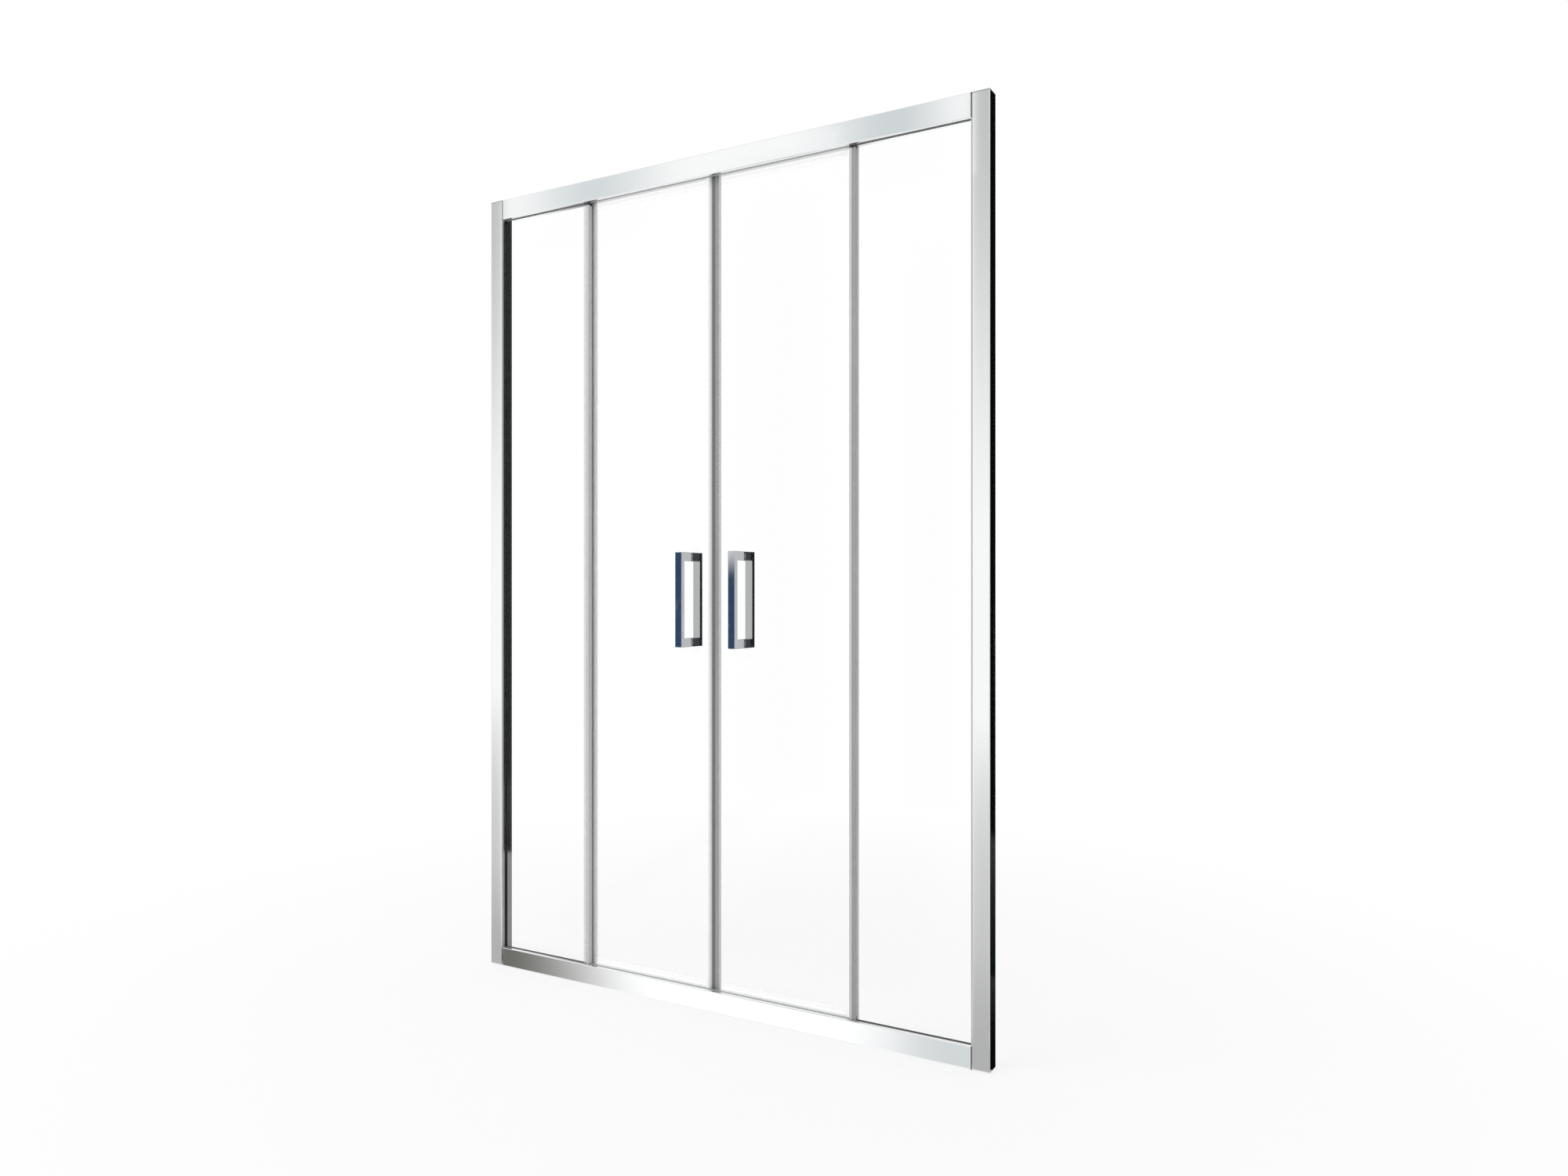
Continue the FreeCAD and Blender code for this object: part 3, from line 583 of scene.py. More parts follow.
@dataclass(frozen=True)
class MouldedPlastic(Finish):
    """Moulded plastic or rubber with a fine, even skin."""

    colour: Colour
    shade: Colour
    roughness: float
    pores: float
    opacity: float = 1.0
    shadow_line_height: float = 0.0
    shadow_line: Colour = grey(0.03)
    spread: float = 0.1
    pore_show: float = 0.6

    def shader(self, desk: NodeDesk) -> Wire:
        """Lay out the nodes, with a painted shadow line under any cap.

        Args:
            desk: the material's node tree.

        Returns:
            The shader.
        """
        clouds = desk.noise(Grain.MOTTLE)
        colour = desk.blend(self.colour, self.shade, clouds)
        # Painted shadow: below this height the cap is dark, standing for the shade line under its rim.
        if self.shadow_line_height:
            under = desk.parts(desk.place())[2] < self.shadow_line_height
            colour = desk.blend(colour, self.shadow_line, under)
        return desk.wire("BsdfPrincipled", None, {
            "Base Color": colour,
            "Roughness": self.roughness + clouds * self.spread,
            "Alpha": self.opacity,
            "Normal": desk.bump(desk.noise(Grain.SKIN), self.pores, self.pore_show),
        })


MADE: dict[Finish, bpy.types.Material] = {}
RAIL_METAL = DrawnMetal("rail_metal", (0.965, 0.97, 0.975), (0.91, 0.915, 0.92),
                        Grain.DIE_LINES_X, roughness=0.04, spread=0.04, line_depth=8.0 * MICRON)
JAMB_METAL = DrawnMetal("jamb_metal", (0.955, 0.96, 0.96), (0.90, 0.905, 0.905),
                        Grain.DIE_LINES_Z, roughness=0.03, spread=0.03, line_depth=6.0 * MICRON)
# The posts get painted shade on their recessed front faces, in the joint.
POST_METAL = replace(JAMB_METAL, name="post_metal", recess=-20.0 * MM)
HANDLE_CHROME = Chrome("handle_chrome", (0.63, 0.64, 0.65), roughness=0.03, touch=0.05)
STEEL = TurnedSteel("turned_steel", (0.66, 0.65, 0.63), roughness=0.22)
GLASS = ClearGlass("pane_glass", (0.997, 0.999, 0.998), (0.50, 0.74, 0.66), face_on=0.012)
SEAL = DrawnPlastic("seal_plastic", grey(0.72), grey(0.46), Grain.DIE_LINES_Z, roughness=0.28,
                    coat=0.3, dark_top_height=1845.5 * MM, legs=(350.0 * MM, 360.0 * MM), clearness=0.6)
TRAIL_SEAL = DrawnPlastic("trailing_seal_plastic", grey(0.78), grey(0.46), Grain.DIE_LINES_Z,
                          roughness=0.28, coat=0.3, legs=(336.0 * MM, 347.0 * MM), clearness=0.6)
NOSE_SEAL = NosePlastic(
    "nose_seal_plastic",
    ((0.0, grey(0.15)), (3.8 * MM, grey(0.17)), (6.8 * MM, grey(0.60)), (13.0 * MM, grey(0.66)),
     (15.0 * MM, grey(0.86))),
    reach=16.0 * MM, roughness=0.28, middle=1.5 * MM, leg=8.0 * MM, clearness=0.6)
SPLASH = FrostedStrip("splash_clear_plastic", (0.982, 0.984, 0.984), grey(0.95), near=884.0 * MM,
                      far=892.0 * MM, ends=(17.0 * MM, 334.0 * MM), opacity=0.9)
GASKET = DrawnPlastic("gasket_rubber", (0.035, 0.037, 0.038), (0.016, 0.017, 0.018),
                      Grain.DIE_LINES_Z, roughness=0.42)
RAIL_GASKET = DrawnPlastic("rail_gasket_rubber", grey(0.34), grey(0.27), Grain.DIE_LINES_X,
                           roughness=0.42)
INFILL = DrawnPlastic("infill_plastic", (0.40, 0.41, 0.42), (0.34, 0.35, 0.36), Grain.DIE_LINES_X,
                      roughness=0.35)
MAGNET = DrawnPlastic("magnet_strip", (0.085, 0.082, 0.080), (0.045, 0.043, 0.042),
                      Grain.DIE_LINES_Z, roughness=0.55)
# The jamb caps get a painted shadow line along their lowest millimetre.
JAMB_CAP = MouldedPlastic("jamb_cap_plastic", grey(0.86), grey(0.80), roughness=0.38,
                          pores=30.0 * MICRON, shadow_line_height=1899.0 * MM)
CAP = MouldedPlastic("cap_plastic", (0.55, 0.56, 0.57), (0.47, 0.48, 0.49), roughness=0.38,
                     pores=30.0 * MICRON)
STOP = MouldedPlastic("buffer_rubber", (0.030, 0.030, 0.031), (0.018, 0.018, 0.019), roughness=0.6,
                      pores=60.0 * MICRON)
WASHER = MouldedPlastic("washer_plastic", (0.88, 0.89, 0.89), (0.78, 0.79, 0.79), roughness=0.3,
                        pores=20.0 * MICRON, opacity=0.55)
WHEEL = MouldedPlastic("wheel_acetal", (0.80, 0.80, 0.78), (0.72, 0.72, 0.70), roughness=0.36,
                       pores=20.0 * MICRON)


class Bench:
    """Modelling by hand: one object at a time, through Blender's own tools."""

    def __init__(self) -> None:
        """Start with nothing selected."""
        self.clear()

    def clear(self) -> None:
        """Leave edit mode and deselect everything."""
        if bpy.context.object is not None and bpy.context.object.mode != "OBJECT":
            bpy.ops.object.mode_set(mode="OBJECT")
        bpy.ops.object.select_all(action="DESELECT")

    def hold(self, piece: bpy.types.Object) -> None:
        """Leave edit mode, select one piece alone and make it active."""
        self.clear()
        piece.select_set(True)
        bpy.context.view_layer.objects.active = piece

    def edit(self) -> None:
        """Enter edit mode on the active piece."""
        if bpy.context.object.mode != "EDIT":
            bpy.ops.object.mode_set(mode="EDIT")

    def start(self, name: str, primitive: Callable[..., Any], **sizes: Any) -> bpy.types.Object:
        """Add a primitive at its size and place.

        Args:
            name: the piece's name.
            primitive: the operator that adds it.
            sizes: the operator's arguments.

        Returns:
            The new object, selected and active.
        """
        self.clear()
        primitive(**sizes)
        bpy.ops.object.transform_apply(location=True, rotation=True, scale=True)
        piece = bpy.context.object
        piece.name = name
        piece.data.name = name
        return piece

    def pick(self, piece: bpy.types.Object, test: Test, faces: bool = True) -> None:
        """Select faces or edges by a test of their place or normal, in edit mode.

        Args:
            piece: the object, already active.
            test: says whether a face or an edge is wanted.
            faces: True for faces, False for edges.
        """
        self.edit()
        bpy.ops.mesh.select_mode(type="FACE" if faces else "EDGE")
        bpy.ops.mesh.select_all(action="DESELECT")
        mesh = bmesh.from_edit_mesh(piece.data)
        for part in mesh.faces if faces else mesh.edges:
            if test(part):
                part.select_set(True)
        mesh.select_flush_mode()
        bmesh.update_edit_mesh(piece.data)

    def push(self, move: Point) -> None:
        """Extrude the selected faces by a move."""
        bpy.ops.mesh.extrude_region_move(TRANSFORM_OT_translate={"value": move})

    def done(self, piece: bpy.types.Object) -> bpy.types.Object:
        """Leave edit mode, settle a piece at the origin and point its faces outwards.

        Args:
            piece: the object, already active.

        Returns:
            The finished piece.
        """
        self.edit()
        bpy.ops.mesh.select_all(action="SELECT")
        bpy.ops.mesh.remove_doubles(threshold=MERGE_GAP)
        bpy.ops.mesh.normals_make_consistent(inside=False)
        self.hold(piece)
        bpy.ops.object.transform_apply(location=True, rotation=True, scale=True)
        bpy.ops.object.shade_smooth_by_angle(angle=SMOOTH_ANGLE)
        self.clear()
        return piece

    def bite(self, piece: bpy.types.Object, tool: bpy.types.Object, keep: bool = False) -> None:
        """Take the tool's shape out of the piece, or keep only what both share.

        Args:
            piece: the object to be cut.
            tool: the cutting shape, which is removed.
            keep: True to keep what both share.
        """
        self.hold(piece)
        cut = piece.modifiers.new("cut", "BOOLEAN")
        cut.operation = "INTERSECT" if keep else "DIFFERENCE"
        cut.object, cut.solver = tool, "EXACT"
        bpy.ops.object.modifier_apply(modifier=cut.name)
        bpy.data.objects.remove(tool)

    def rod(self, name: str, radius: float, low: float, high: float, corners: int = 40,
            place: tuple[float, float] = (0.0, 0.0)) -> bpy.types.Object:
        """Add a round or cornered rod along Y.

        Args:
            name: the rod's name.
            radius: its radius, to the corners.
            low: where it starts on Y.
            high: where it ends on Y.
            corners: number of its sides.
            place: its axis on X and Z.

        Returns:
            The rod.
        """
        middle = (place[0], (low + high) / 2, place[1])
        return self.start(name, bpy.ops.mesh.primitive_cylinder_add, vertices=corners,
                          radius=radius, depth=high - low, location=middle,
                          rotation=(-QUARTER_TURN, 0.0, 0.0))

    def copy(self, piece: bpy.types.Object, name: str, move: Point, turn: float) -> bpy.types.Object:
        """Copy a finished piece, with a mesh of its own.

        Args:
            piece: a finished piece, modelled about the Y axis.
            name: the copy's name.
            move: how far the copy's mesh is from the piece's.
            turn: angle about its own axis, in degrees.

        Returns:
            The copy, with its object at the origin.
        """
        twin = bpy.data.objects.new(name, piece.data.copy())
        twin.data.name = name
        bpy.context.scene.collection.objects.link(twin)
        roll = Matrix.Rotation(math.radians(turn), 4, "Y")
        twin.data.transform(Matrix.Translation(Vector(move)) @ roll)
        return twin


def facing(axis: int, sign: int) -> Test:
    """Return a test for faces that look along an axis, 0 to 2 for X to Z, by its sign."""
    return lambda face: face.normal[axis] * sign > LOOKS_ALONG


def level(height: float) -> Test:
    """Return a test for edges that lie wholly at one place on Y."""
    return lambda edge: all(abs(vertex.co.y - height) < NEAR for vertex in edge.verts)


@dataclass
class JambScrews:
    """Pan head screws that hold the posts in the wall channels, driven from inside the shower."""

    node: str = "jamb_screws"
    body: str = "frame"
    across: tuple[float, float] = (-626.0 * MM, 626.0 * MM)
    heights: tuple[float, ...] = (90.0 * MM, 950.0 * MM, 1810.0 * MM)
    turns: tuple[float, ...] = (12.0, 71.0, 38.0, 55.0, 24.0, 83.0)
    seat: float = 11.0 * MM
    head_radius: float = 3.6 * MM
    head_height: float = 2.4 * MM
    head_round: float = 1.3 * MM
    shank_radius: float = 1.6 * MM
    shank_length: float = 6.6 * MM
    point: float = 1.4 * MM
    point_taper: float = 0.2
    slot_width: float = 0.9 * MM
    slot_arm: float = 1.25 * MM
    slot_depth: float = 1.5 * MM
    slot_rise: float = 0.05 * MM
    slot_taper: float = 0.6

    def model(self, bench: Bench) -> bpy.types.Object:
        """Model one screw with the seat of its head at the origin.

        Args:
            bench: the modelling bench.

        Returns:
            The screw.
        """
        screw = bench.rod("jamb_screw", self.head_radius, 0.0, self.head_height)
        bench.pick(screw, level(self.head_height), faces=False)
        bpy.ops.mesh.bevel(offset=self.head_round, segments=5, profile=0.5, affect="EDGES")
        bench.pick(screw, facing(1, -1))
        bpy.ops.mesh.inset(thickness=self.head_radius - self.shank_radius)
        bench.push((0.0, -self.shank_length, 0.0))
        bench.push((0.0, -self.point, 0.0))
        tip = (0.0, -self.shank_length - self.point, 0.0)
        bpy.ops.transform.resize(value=(self.point_taper, 1.0, self.point_taper), center_override=tip)
        bench.bite(screw, self.recess(bench))
        return bench.done(screw)

    def recess(self, bench: Bench) -> bpy.types.Object:
        """Model the cross that is cut into the head, narrower at its floor.

        Args:
            bench: the modelling bench.

        Returns:
            The cutting shape.
        """
        middle = (0.0, self.head_height - self.slot_depth / 2 + self.slot_rise, 0.0)
        slots = bench.start("cross_recess", bpy.ops.mesh.primitive_cube_add, size=1.0, location=middle,
                            scale=(self.slot_width, self.slot_depth, self.slot_width))
        for axis, sign in ((0, 1), (0, -1), (2, 1), (2, -1)):
            move = [0.0, 0.0, 0.0]
            move[axis] = sign * self.slot_arm
            bench.pick(slots, self.arm_end(axis, sign))
            bench.push(tuple(move))
        bench.pick(slots, facing(1, -1))
        floor = (0.0, self.head_height - self.slot_depth, 0.0)
        bpy.ops.transform.resize(value=(self.slot_taper, 1.0, self.slot_taper), center_override=floor)
        return slots

    def arm_end(self, axis: int, sign: int) -> Test:
        """Make a test for the end face of the recess's core that looks along an axis.

        Args:
            axis: 0 for X or 2 for Z.
            sign: 1 or -1.

        Returns:
            The test.
        """
        looks = facing(axis, sign)
        end = sign * self.slot_width / 2

        def test(face: Part) -> bool:
            """Say whether the face is that end of the core."""
            middle = face.calc_center_median()
            return looks(face) and abs(middle[axis] - end) < NEAR and abs(middle[2 - axis]) < NEAR

        return test

    def build(self, bench: Bench) -> None:
        """Set one screw at each place and let them stand for the plain solids.

        Args:
            bench: the modelling bench.
        """
        master = self.model(bench)
        master.data.materials.append(STEEL.material())
        places = [(x, z) for x in self.across for z in self.heights]
        for number, ((x, z), turn) in enumerate(zip(places, self.turns), start=1):
            screw = bench.copy(master, f"jamb_screw_{number}", (x, self.seat, z), turn)
            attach(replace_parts(screw, self.node), self.body)
            LOG.info("%s driven in at %.3f, %.3f", screw.name, x, z)
        bpy.data.objects.remove(master)


@dataclass
class StudHardware:
    """Nuts and retaining clips on one door's axle studs."""

    side: Side
    across: tuple[float, float] = (60.0 * MM, 300.0 * MM)
    heights: tuple[float, float] = (17.7 * MM, 1875.7 * MM)
    turn_step: float = 30.0
    nut_front: float = -4.5 * MM
    nut_back: float = -0.5 * MM
    nut_radius: float = 7.5 * MM
    nut_turned: float = 0.995
    nut_chamfer: float = 0.7 * MM
    nut_bore: float = 4.05 * MM
    clip_front: float = 17.7 * MM
    clip_back: float = 18.5 * MM
    clip_radius: float = 4.5 * MM
    clip_bore: float = 2.55 * MM
    clip_throat: float = 3.4 * MM
    clip_edge: float = 0.12 * MM
    pocket_radius: float = 0.85 * MM
    pocket_place: tuple[float, float] = (2.55 * MM, 1.05 * MM)
    cut_past: float = 1.0 * MM

    def nut(self, bench: Bench) -> bpy.types.Object:
        """Model one nut: a hexagon turned down at its corners, then bored.

        Args:
            bench: the modelling bench.

        Returns:
            The nut.
        """
        low, high = self.nut_front, self.nut_back
        nut = bench.rod("stud_nut", self.nut_radius, low, high, corners=6)
        turned = bench.rod("turned", self.nut_radius * self.nut_turned, low, high, corners=72)
        for end in (low, high):
            bench.pick(turned, level(end), faces=False)
            bpy.ops.mesh.bevel(offset=self.nut_chamfer, segments=1, affect="EDGES")
        bench.bite(nut, turned, keep=True)
        bench.bite(nut, bench.rod("bore", self.nut_bore, low - self.cut_past, high + self.cut_past))
        return bench.done(nut)

    def clip(self, bench: Bench) -> bpy.types.Object:
        """Model one clip: a ring with an open throat and two pockets that let it spring.

        Args:
            bench: the modelling bench.

        Returns:
            The clip.
        """
        low, high = self.clip_front, self.clip_back
        under, over = low - self.cut_past, high + self.cut_past
        clip = bench.rod("axle_clip", self.clip_radius, low, high, corners=48)
        bench.bite(clip, bench.rod("bore", self.clip_bore, under, over))
        throat = bench.start("throat", bpy.ops.mesh.primitive_cube_add, size=1.0,
                             location=(0.0, (low + high) / 2, -self.clip_radius),
                             scale=(self.clip_throat, 4 * self.cut_past, 2 * self.clip_radius))
        bench.bite(clip, throat)
        for sign in (-1, 1):
            place = (sign * self.pocket_place[0], self.pocket_place[1])
            bench.bite(clip, bench.rod("pocket", self.pocket_radius, under, over, corners=20, place=place))
        bench.pick(clip, level(high), faces=False)
        bpy.ops.mesh.bevel(offset=self.clip_edge, segments=2, affect="EDGES")
        return bench.done(clip)

    def build(self, bench: Bench) -> None:
        """Set a nut and a clip on every stud and let them stand for the plain solids.

        Args:
            bench: the modelling bench.
        """
        places = [(self.side.sign * x, z) for x in self.across for z in self.heights]
        for kind, master in (("stud_nut", self.nut(bench)), ("axle_clip", self.clip(bench))):
            master.data.materials.append(STEEL.material())
            for number, (x, z) in enumerate(places, start=1):
                name = f"{self.side}_{kind}_{number}"
                piece = bench.copy(master, name, (x, 0.0, z), self.turn_step * number)
                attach(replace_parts(piece, f"{self.side}_{kind}s"),
                        f"{self.side}_door")
                LOG.info("%s set on its stud", name)
            bpy.data.objects.remove(master)


class Looks(ABC):
    """Solids that are dressed together."""

    @abstractmethod
    def finishes(self) -> Iterator[tuple[str, Finish]]:
        """Yield each solid's name with its finish."""

    def dress(self) -> None:
        """Give every solid its finish."""
        for node, finish in self.finishes():
            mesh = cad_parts[node].data
            mesh.materials.clear()
            mesh.materials.append(finish.material())
            LOG.info("%s dressed in %s", node, finish.name)


@dataclass
class FrameLooks(Looks):
    """The fixed frame: rails, wall channels with their posts, fixed panes and their seals."""

    sides: tuple[Side, ...] = tuple(Side)

    def finishes(self) -> Iterator[tuple[str, Finish]]:
        """List the solids of the frame.

        Returns:
            Each solid's name with its finish.
        """
        yield from (("header_rail", RAIL_METAL), ("sill_rail", RAIL_METAL),
                    ("header_gaskets", RAIL_GASKET), ("sill_gaskets", RAIL_GASKET),
                    ("header_infill", INFILL), ("sill_infill", INFILL), ("jamb_caps", JAMB_CAP),
                    ("rail_end_caps", CAP), ("corner_screws", STEEL), ("jamb_screws", STEEL),
                    ("door_stops", STOP))
        for side in self.sides:
            yield f"{side}_wall_channel", JAMB_METAL
            yield f"{side}_frame_post", POST_METAL
            yield f"{side}_fixed_glass", GLASS
            yield f"{side}_post_gasket", GASKET
            yield f"{side}_fixed_edge_seal", SEAL


@dataclass
class DoorLooks(Looks):
    """One sliding door: its pane, seals, handles, studs and wheels."""

    side: Side
    wheels: tuple[int, int] = (1, 2)

    def finishes(self) -> Iterator[tuple[str, Finish]]:
        """List the solids of the door.

        Returns:
            Each solid's name with its finish.
        """
        parts = (("sliding_glass", GLASS), ("meeting_seal", NOSE_SEAL), ("magnet_strip", MAGNET),
                 ("trailing_seal", TRAIL_SEAL), ("top_splash_strip", SPLASH),
                 ("bottom_splash_strip", SPLASH), ("outer_handle", HANDLE_CHROME),
                 ("inner_handle", HANDLE_CHROME), ("handle_studs", STEEL),
                 ("glass_washers", WASHER), ("roller_studs", STEEL), ("stud_nuts", STEEL),
                 ("axle_clips", STEEL))
        for part, finish in parts:
            yield f"{self.side}_{part}", finish
        for number in self.wheels:
            yield f"{self.side}_hanging_wheel_{number}", WHEEL
            yield f"{self.side}_guide_wheel_{number}", WHEEL
            yield f"{self.side}_wheel_bearing_{number}", STEEL


@dataclass(frozen=True)
class Reflector:
    """A studio card that only polished surfaces see, with soft edges."""

    name: str
    centre: Point
    size: tuple[float, float]
    colour: Colour
    facing: Facing = Facing.UPRIGHT
    weight: float = 1.0
    fade: tuple[float, float, float, float] = (0.2, 0.2, 0.2, 0.2)
    lean: float = 0.0

    def material(self) -> bpy.types.Material:
        """Make the card's glow, fading to nothing at its edges.

        Returns:
            The material.
        """
        made = bpy.data.materials.new(self.name)
        made.use_nodes = True
        made.cycles.emission_sampling = "NONE"
        desk = NodeDesk(made.node_tree)
        place = desk.parts(desk.place())
        first, second = self.facing.value
        along, across = place[first], place[second]
        if self.lean:
            along = along - (across - self.centre[second]) * self.lean
        share: Term = self.weight
        for value, centre, width, low, high in (
            (along, self.centre[first], self.size[0], self.fade[0], self.fade[1]),
            (across, self.centre[second], self.size[1], self.fade[2], self.fade[3]),
        ):
            for edge, sign, soft in ((centre - width / 2, 1, low), (centre + width / 2, -1, high)):
                if soft > 0:
                    share = share * desk.fade(value, edge, edge + sign * soft * width)
        clear = desk.wire("BsdfTransparent")
        glow = desk.wire("Emission", None, {"Color": self.colour, "Strength": 1.0})
        desk.finish(desk.wire("MixShader", None, {0: share, 1: clear, 2: glow}))
        return made

    def build(self, bench: Bench) -> bpy.types.Object:
        """Add the card to the studio.

        Args:
            bench: the modelling bench.

        Returns:
            Nothing: mark_backdrop marks the card as backdrop and returns None.
        """
        card = bench.start(self.name, bpy.ops.mesh.primitive_plane_add, size=1.0)
        turn = Matrix()
        if self.facing is not Facing.FLAT:
            turn = Matrix.Rotation(QUARTER_TURN, 4, "X")
        if self.facing is Facing.SIDE:
            turn = Matrix.Rotation(QUARTER_TURN, 4, "Z") @ turn
        skew = Matrix()
        skew[0][1] = self.lean
        card.data.transform(skew @ Matrix.Diagonal((*self.size, 1.0, 1.0)))
        card.data.transform(Matrix.Translation(Vector(self.centre)) @ turn)
        card.data.materials.append(self.material())
        card.visible_camera = card.visible_diffuse = False
        card.visible_transmission = card.visible_shadow = False
        bench.clear()
        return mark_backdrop(card)


FRONT = -2.4
BAND = (0.645, 0.69, 0.70)
SHADE = (0.55, 0.565, 0.56)
NAVY = (0.044, 0.088, 0.184)
INNER_GREY = grey(0.70)
SIDE_GREY = grey(0.75)
JAMB_FOOT = grey(0.44)
NIGHT = (0.002, 0.003, 0.004)
CHARCOAL = (0.044, 0.052, 0.054)
BACK = (0.30, 0.31, 0.32)
LEFT_LEAN = 0.9635
RIGHT_LEAN = 0.3711
RISING = (0.0, 0.0, 1.0, 0.0)
GRIP_EDGES = (0.1, 0.1, 0.02, 0.02)
CRISP = (0.02, 0.02, 0.02, 0.02)
LEFT_FOOT = (0.5, 0.02, 1.0, 0.0)
RIGHT_FOOT = (0.02, 0.5, 1.0, 0.0)
SOFT_SIDES = (0.5, 0.5, 0.0, 0.2)
COLUMN = (0.5, 0.5, 0.0, 0.25)
CARDS: tuple[Reflector, ...] = (
    Reflector("left_header_band", (-2.28, FRONT, 2.96), (1.24, 0.6), BAND, weight=0.86,
              fade=(0.5, 0.5, 0.1, 0.1)),
    Reflector("right_header_band", (-0.72, FRONT, 2.96), (0.94, 0.6), BAND, weight=0.98,
              fade=(0.62, 0.38, 0.1, 0.1)),
    Reflector("left_jamb_shade", (-3.05, FRONT, 2.03), (0.30, 2.16), SHADE, fade=RISING),
    Reflector("right_jamb_shade", (-0.17, FRONT, 2.03), (0.19, 2.16), SHADE, fade=RISING),
    Reflector("left_grip_card", (-0.3945, -0.5, 0.906), (0.034, 0.30), NAVY, fade=GRIP_EDGES),
    Reflector("right_grip_card", (-0.223, -0.5, 0.894), (0.034, 0.298), NAVY,
              fade=(0.1, 0.1, 0.02, 0.285)),
    Reflector("left_inner_grip_card", (-0.436, -0.5, 0.906), (0.032, 0.30), INNER_GREY,
              fade=(0.05, 0.05, 0.02, 0.02)),
    Reflector("right_inner_grip_card", (-0.261, -0.5, 0.906), (0.032, 0.30), INNER_GREY,
              fade=(0.05, 0.05, 0.02, 0.2)),
    Reflector("dark_side_card", (1.38, 2.0, 1.4), (0.54, 4.6), NIGHT, fade=(0.1, 0.1, 0.0, 0.0)),
    Reflector("left_handle_side_card", (0.162, 0.3, 0.908), (0.036, 0.29), SIDE_GREY, fade=CRISP),
    Reflector("right_handle_side_card", (0.281, 0.3, 0.908), (0.036, 0.29), SIDE_GREY, fade=CRISP),
    Reflector("left_inner_side_card", (0.131, 0.3, 0.908), (0.024, 0.29), CHARCOAL, fade=GRIP_EDGES),
    Reflector("right_inner_side_card", (0.256, 0.3, 0.908), (0.023, 0.29), CHARCOAL, fade=GRIP_EDGES),
    Reflector("left_sill_shade", (-0.428, -0.09, 0.003), (0.496, 0.135), (0.125, 0.122, 0.108),
              Facing.FLAT, 0.95, (0.0, 0.98, 0.0, 0.0), 0.9613),
    Reflector("right_sill_shade", (0.436, -0.09, 0.003), (0.30, 0.135), (0.68, 0.71, 0.72),
              Facing.FLAT, 0.95, (0.9, 0.0, 0.0, 0.0), 0.3718),
    Reflector("sill_light", (0.03, -0.09, 0.002), (0.96, 0.14), grey(1.08), Facing.FLAT, 1.0,
              (0.2, 0.1, 0.0, 0.0), 0.6),
    Reflector("left_jamb_floor_shade", (-3.687, -3.11, 0.003), (0.20, 6.2), JAMB_FOOT,
              Facing.FLAT, 0.72, LEFT_FOOT, LEFT_LEAN),
    Reflector("left_jamb_foot_shade", (-1.125, -0.45, 0.004), (0.20, 0.88), JAMB_FOOT,
              Facing.FLAT, 0.8, LEFT_FOOT, LEFT_LEAN),
    Reflector("right_jamb_floor_shade", (-0.433, -3.11, 0.003), (0.20, 6.2), JAMB_FOOT,
              Facing.FLAT, 0.72, RIGHT_FOOT, RIGHT_LEAN),
    Reflector("right_jamb_foot_shade", (0.554, -0.45, 0.004), (0.20, 0.88), JAMB_FOOT,
              Facing.FLAT, 0.8, RIGHT_FOOT, RIGHT_LEAN),
    Reflector("right_side_foot_shade", (0.7361, 0.24, 0.003), (0.03, 0.52), NIGHT,
              Facing.FLAT, 1.0, (0.1, 0.1, 0.0, 0.0), 0.35),
    Reflector("right_side_floor_shade", (1.1039, 1.29, 0.003), (0.09, 1.58), NIGHT,
              Facing.FLAT, 1.0, (0.2, 0.2, 0.0, 0.0), 0.35),
    Reflector("left_inner_floor_shade", (0.7445, 1.43, 0.004), (0.16, 1.14), NIGHT,
              Facing.FLAT, 1.0, (0.2, 0.2, 0.03, 0.0), 0.95),
    Reflector("left_inner_foot_shade", (-0.196, 0.44, 0.003), (0.16, 0.90), grey(0.235),
              Facing.FLAT, 1.0, (0.2, 0.2, 0.06, 0.0), 0.95),
    Reflector("overhead_card", (0.0, 1.2, 5.0), (8.0, 5.0), (0.32, 0.33, 0.34), Facing.FLAT,
              fade=(0.1, 0.1, 0.2, 0.2)),
    Reflector("back_floor_card", (0.0, 1.512, 0.001), (6.0, 3.0), BACK, Facing.FLAT, 0.6,
              (0.1, 0.1, 0.0, 0.4)),
    Reflector("right_front_floor_tone", (2.15, -1.6, 0.001), (2.9, 2.9), BACK, Facing.FLAT, 0.5,
              (0.1, 0.2, 0.3, 0.08)),
    Reflector("middle_front_floor_tone", (-0.27, -1.2, 0.001), (0.75, 2.0), BACK, Facing.FLAT, 0.5,
              (0.2, 0.15, 0.3, 0.1), 0.3616),
    Reflector("middle_front_card", (-0.47, FRONT, 1.3), (0.34, 2.6), BACK, weight=0.7, fade=SOFT_SIDES),
    *(Reflector(f"{side}_front_card", (1.22 * side.sign, FRONT, 1.5), (0.7, 3.0), BACK, weight=0.7,
                fade=SOFT_SIDES) for side in Side),
    *(Reflector(f"{side}_front_floor_card", (0.93 * side.sign, -1.21, 0.0025), (0.26, 2.38), BACK,
                Facing.FLAT, 0.65, SOFT_SIDES, -0.25 * side.sign) for side in Side),
    *(Reflector(f"{side}_side_floor_card", (1.85 * side.sign, 0.0, 0.002), (2.3, 0.7), BACK,
                Facing.FLAT, 0.8, (0.1, 0.1, 0.5, 0.5)) for side in Side),
    *(Reflector(f"front_card_{number}", (x, FRONT, 1.85), (1.0, 3.7), BACK, weight=0.8,
                fade=COLUMN) for number, x in enumerate((-5.4, -4.0, 0.62, 2.0, 3.4))),
    *(Reflector(f"back_card_{number}", (1.4 * (number - 3), 3.0, 1.85), (1.0, 3.7), BACK,
                fade=COLUMN) for number in range(7)),
    *(Reflector(f"{side}_card_{number}", (3.0 * side.sign, 1.3 * (number - 1), 1.85), (0.9, 3.7),
                BACK, Facing.SIDE, fade=COLUMN) for side in Side for number in range(3)),
)


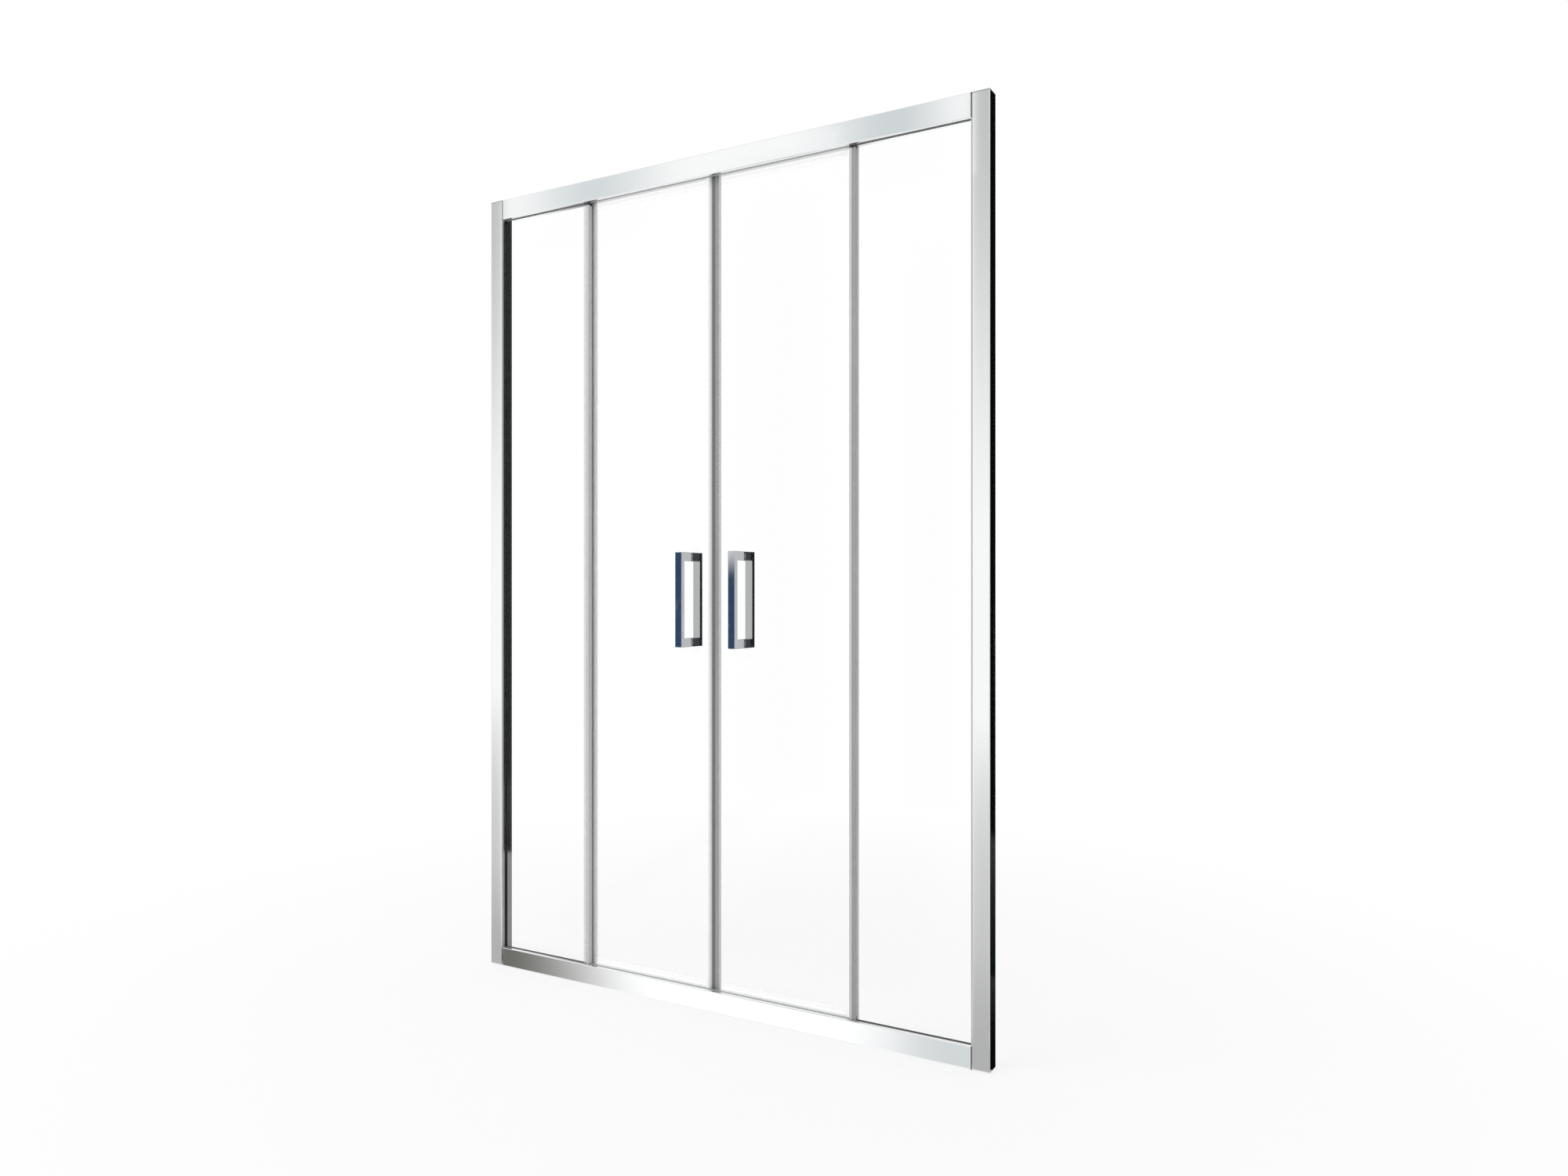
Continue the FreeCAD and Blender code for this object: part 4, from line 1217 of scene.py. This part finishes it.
@dataclass
class Studio:
    """Floor, white surroundings, lamp, cards and camera."""

    ambient: float = 0.80
    floor_size: float = 60.0
    floor_colour: Colour = grey(0.93)
    floor_white: float = 0.75
    floor_fade: tuple[float, float] = (0.5, 2.4)
    key_power: float = 42.0
    key_size: float = 3.0
    key_place: Point = (-1.6, -2.8, 3.4)
    key_aim: Point = (0.0, 0.0, 0.8)
    eye: Point = (1.38207, -2.09669, 0.93308)
    heading: float = 29.7069
    sensor: float = 36.0
    lens: float = 25.8092
    shift: tuple[float, float] = (-0.00149, 0.00119)
    sight: float = 200.0
    cards: tuple[Reflector, ...] = CARDS

    def surroundings(self) -> None:
        """Make the world white to the eye, to metal and to glass, and soft on the rest."""
        world = bpy.data.worlds.new("white_studio")
        world.use_nodes = True
        bpy.context.scene.world = world
        desk = NodeDesk(world.node_tree)
        strength = self.ambient + desk.seen() * (1.0 - self.ambient)
        light = desk.wire("Background", None, {"Color": WHITE, "Strength": strength})
        desk.node("OutputWorld", None, {"Surface": light})

    def floor(self, bench: Bench) -> None:
        """Lay the pale floor, which keeps the door's shadow.

        Args:
            bench: the modelling bench.
        """
        ground = bench.start("floor", bpy.ops.mesh.primitive_plane_add, size=self.floor_size)
        made = bpy.data.materials.new("pale_floor")
        made.use_nodes = True
        made.cycles.emission_sampling = "NONE"
        desk = NodeDesk(made.node_tree)
        away = desk.wire("VectorMath", {"operation": "LENGTH"}, {0: desk.place()}, "Value")
        far = desk.fade(away, *self.floor_fade, self.floor_white)
        matt = desk.wire("BsdfDiffuse", None, {"Color": self.floor_colour})
        white = desk.wire("Emission", None, {"Color": WHITE, "Strength": 1.0})
        desk.finish(desk.wire("MixShader", None, {0: desk.seen() * far, 1: matt, 2: white}))
        ground.data.materials.append(made)
        bench.clear()

    def lamp(self) -> None:
        """Hang one large soft lamp in front of the door, above its left side."""
        lamp = bpy.data.lights.new("soft_key", "AREA")
        lamp.shape, lamp.size, lamp.energy = "DISK", self.key_size, self.key_power
        holder = bpy.data.objects.new("soft_key", lamp)
        holder.location = self.key_place
        aim = Vector(self.key_aim) - holder.location
        holder.rotation_euler = aim.to_track_quat("-Z", "Y").to_euler()
        holder.visible_glossy = False
        bpy.context.scene.collection.objects.link(holder)

    def camera(self) -> None:
        """Set the camera where the door is seen from the right, at half its height."""
        eye = bpy.data.cameras.new("camera")
        eye.sensor_fit, eye.sensor_width, eye.lens = "HORIZONTAL", self.sensor, self.lens
        eye.shift_x, eye.shift_y = self.shift
        eye.clip_end = self.sight
        holder = bpy.data.objects.new("camera", eye)
        holder.location = self.eye
        holder.rotation_euler = (QUARTER_TURN, 0.0, math.radians(self.heading))
        bpy.context.scene.collection.objects.link(holder)
        bpy.context.scene.camera = holder

    def build(self, bench: Bench) -> None:
        """Set up the whole studio.

        Args:
            bench: the modelling bench.
        """
        bpy.context.scene.view_settings.view_transform = "Standard"
        self.surroundings()
        self.floor(bench)
        self.lamp()
        for card in self.cards:
            card.build(bench)
            LOG.info("card %s hung", card.name)
        self.camera()


def main() -> None:
    """Dress the door piece by piece and set up the studio."""
    logging.basicConfig(level=logging.INFO, format="%(name)s: %(message)s")
    bench = Bench()
    FrameLooks().dress()
    JambScrews().build(bench)
    for side in Side:
        DoorLooks(side).dress()
        StudHardware(side).build(bench)
    Studio().build(bench)


if __name__ == "__main__":
    main()
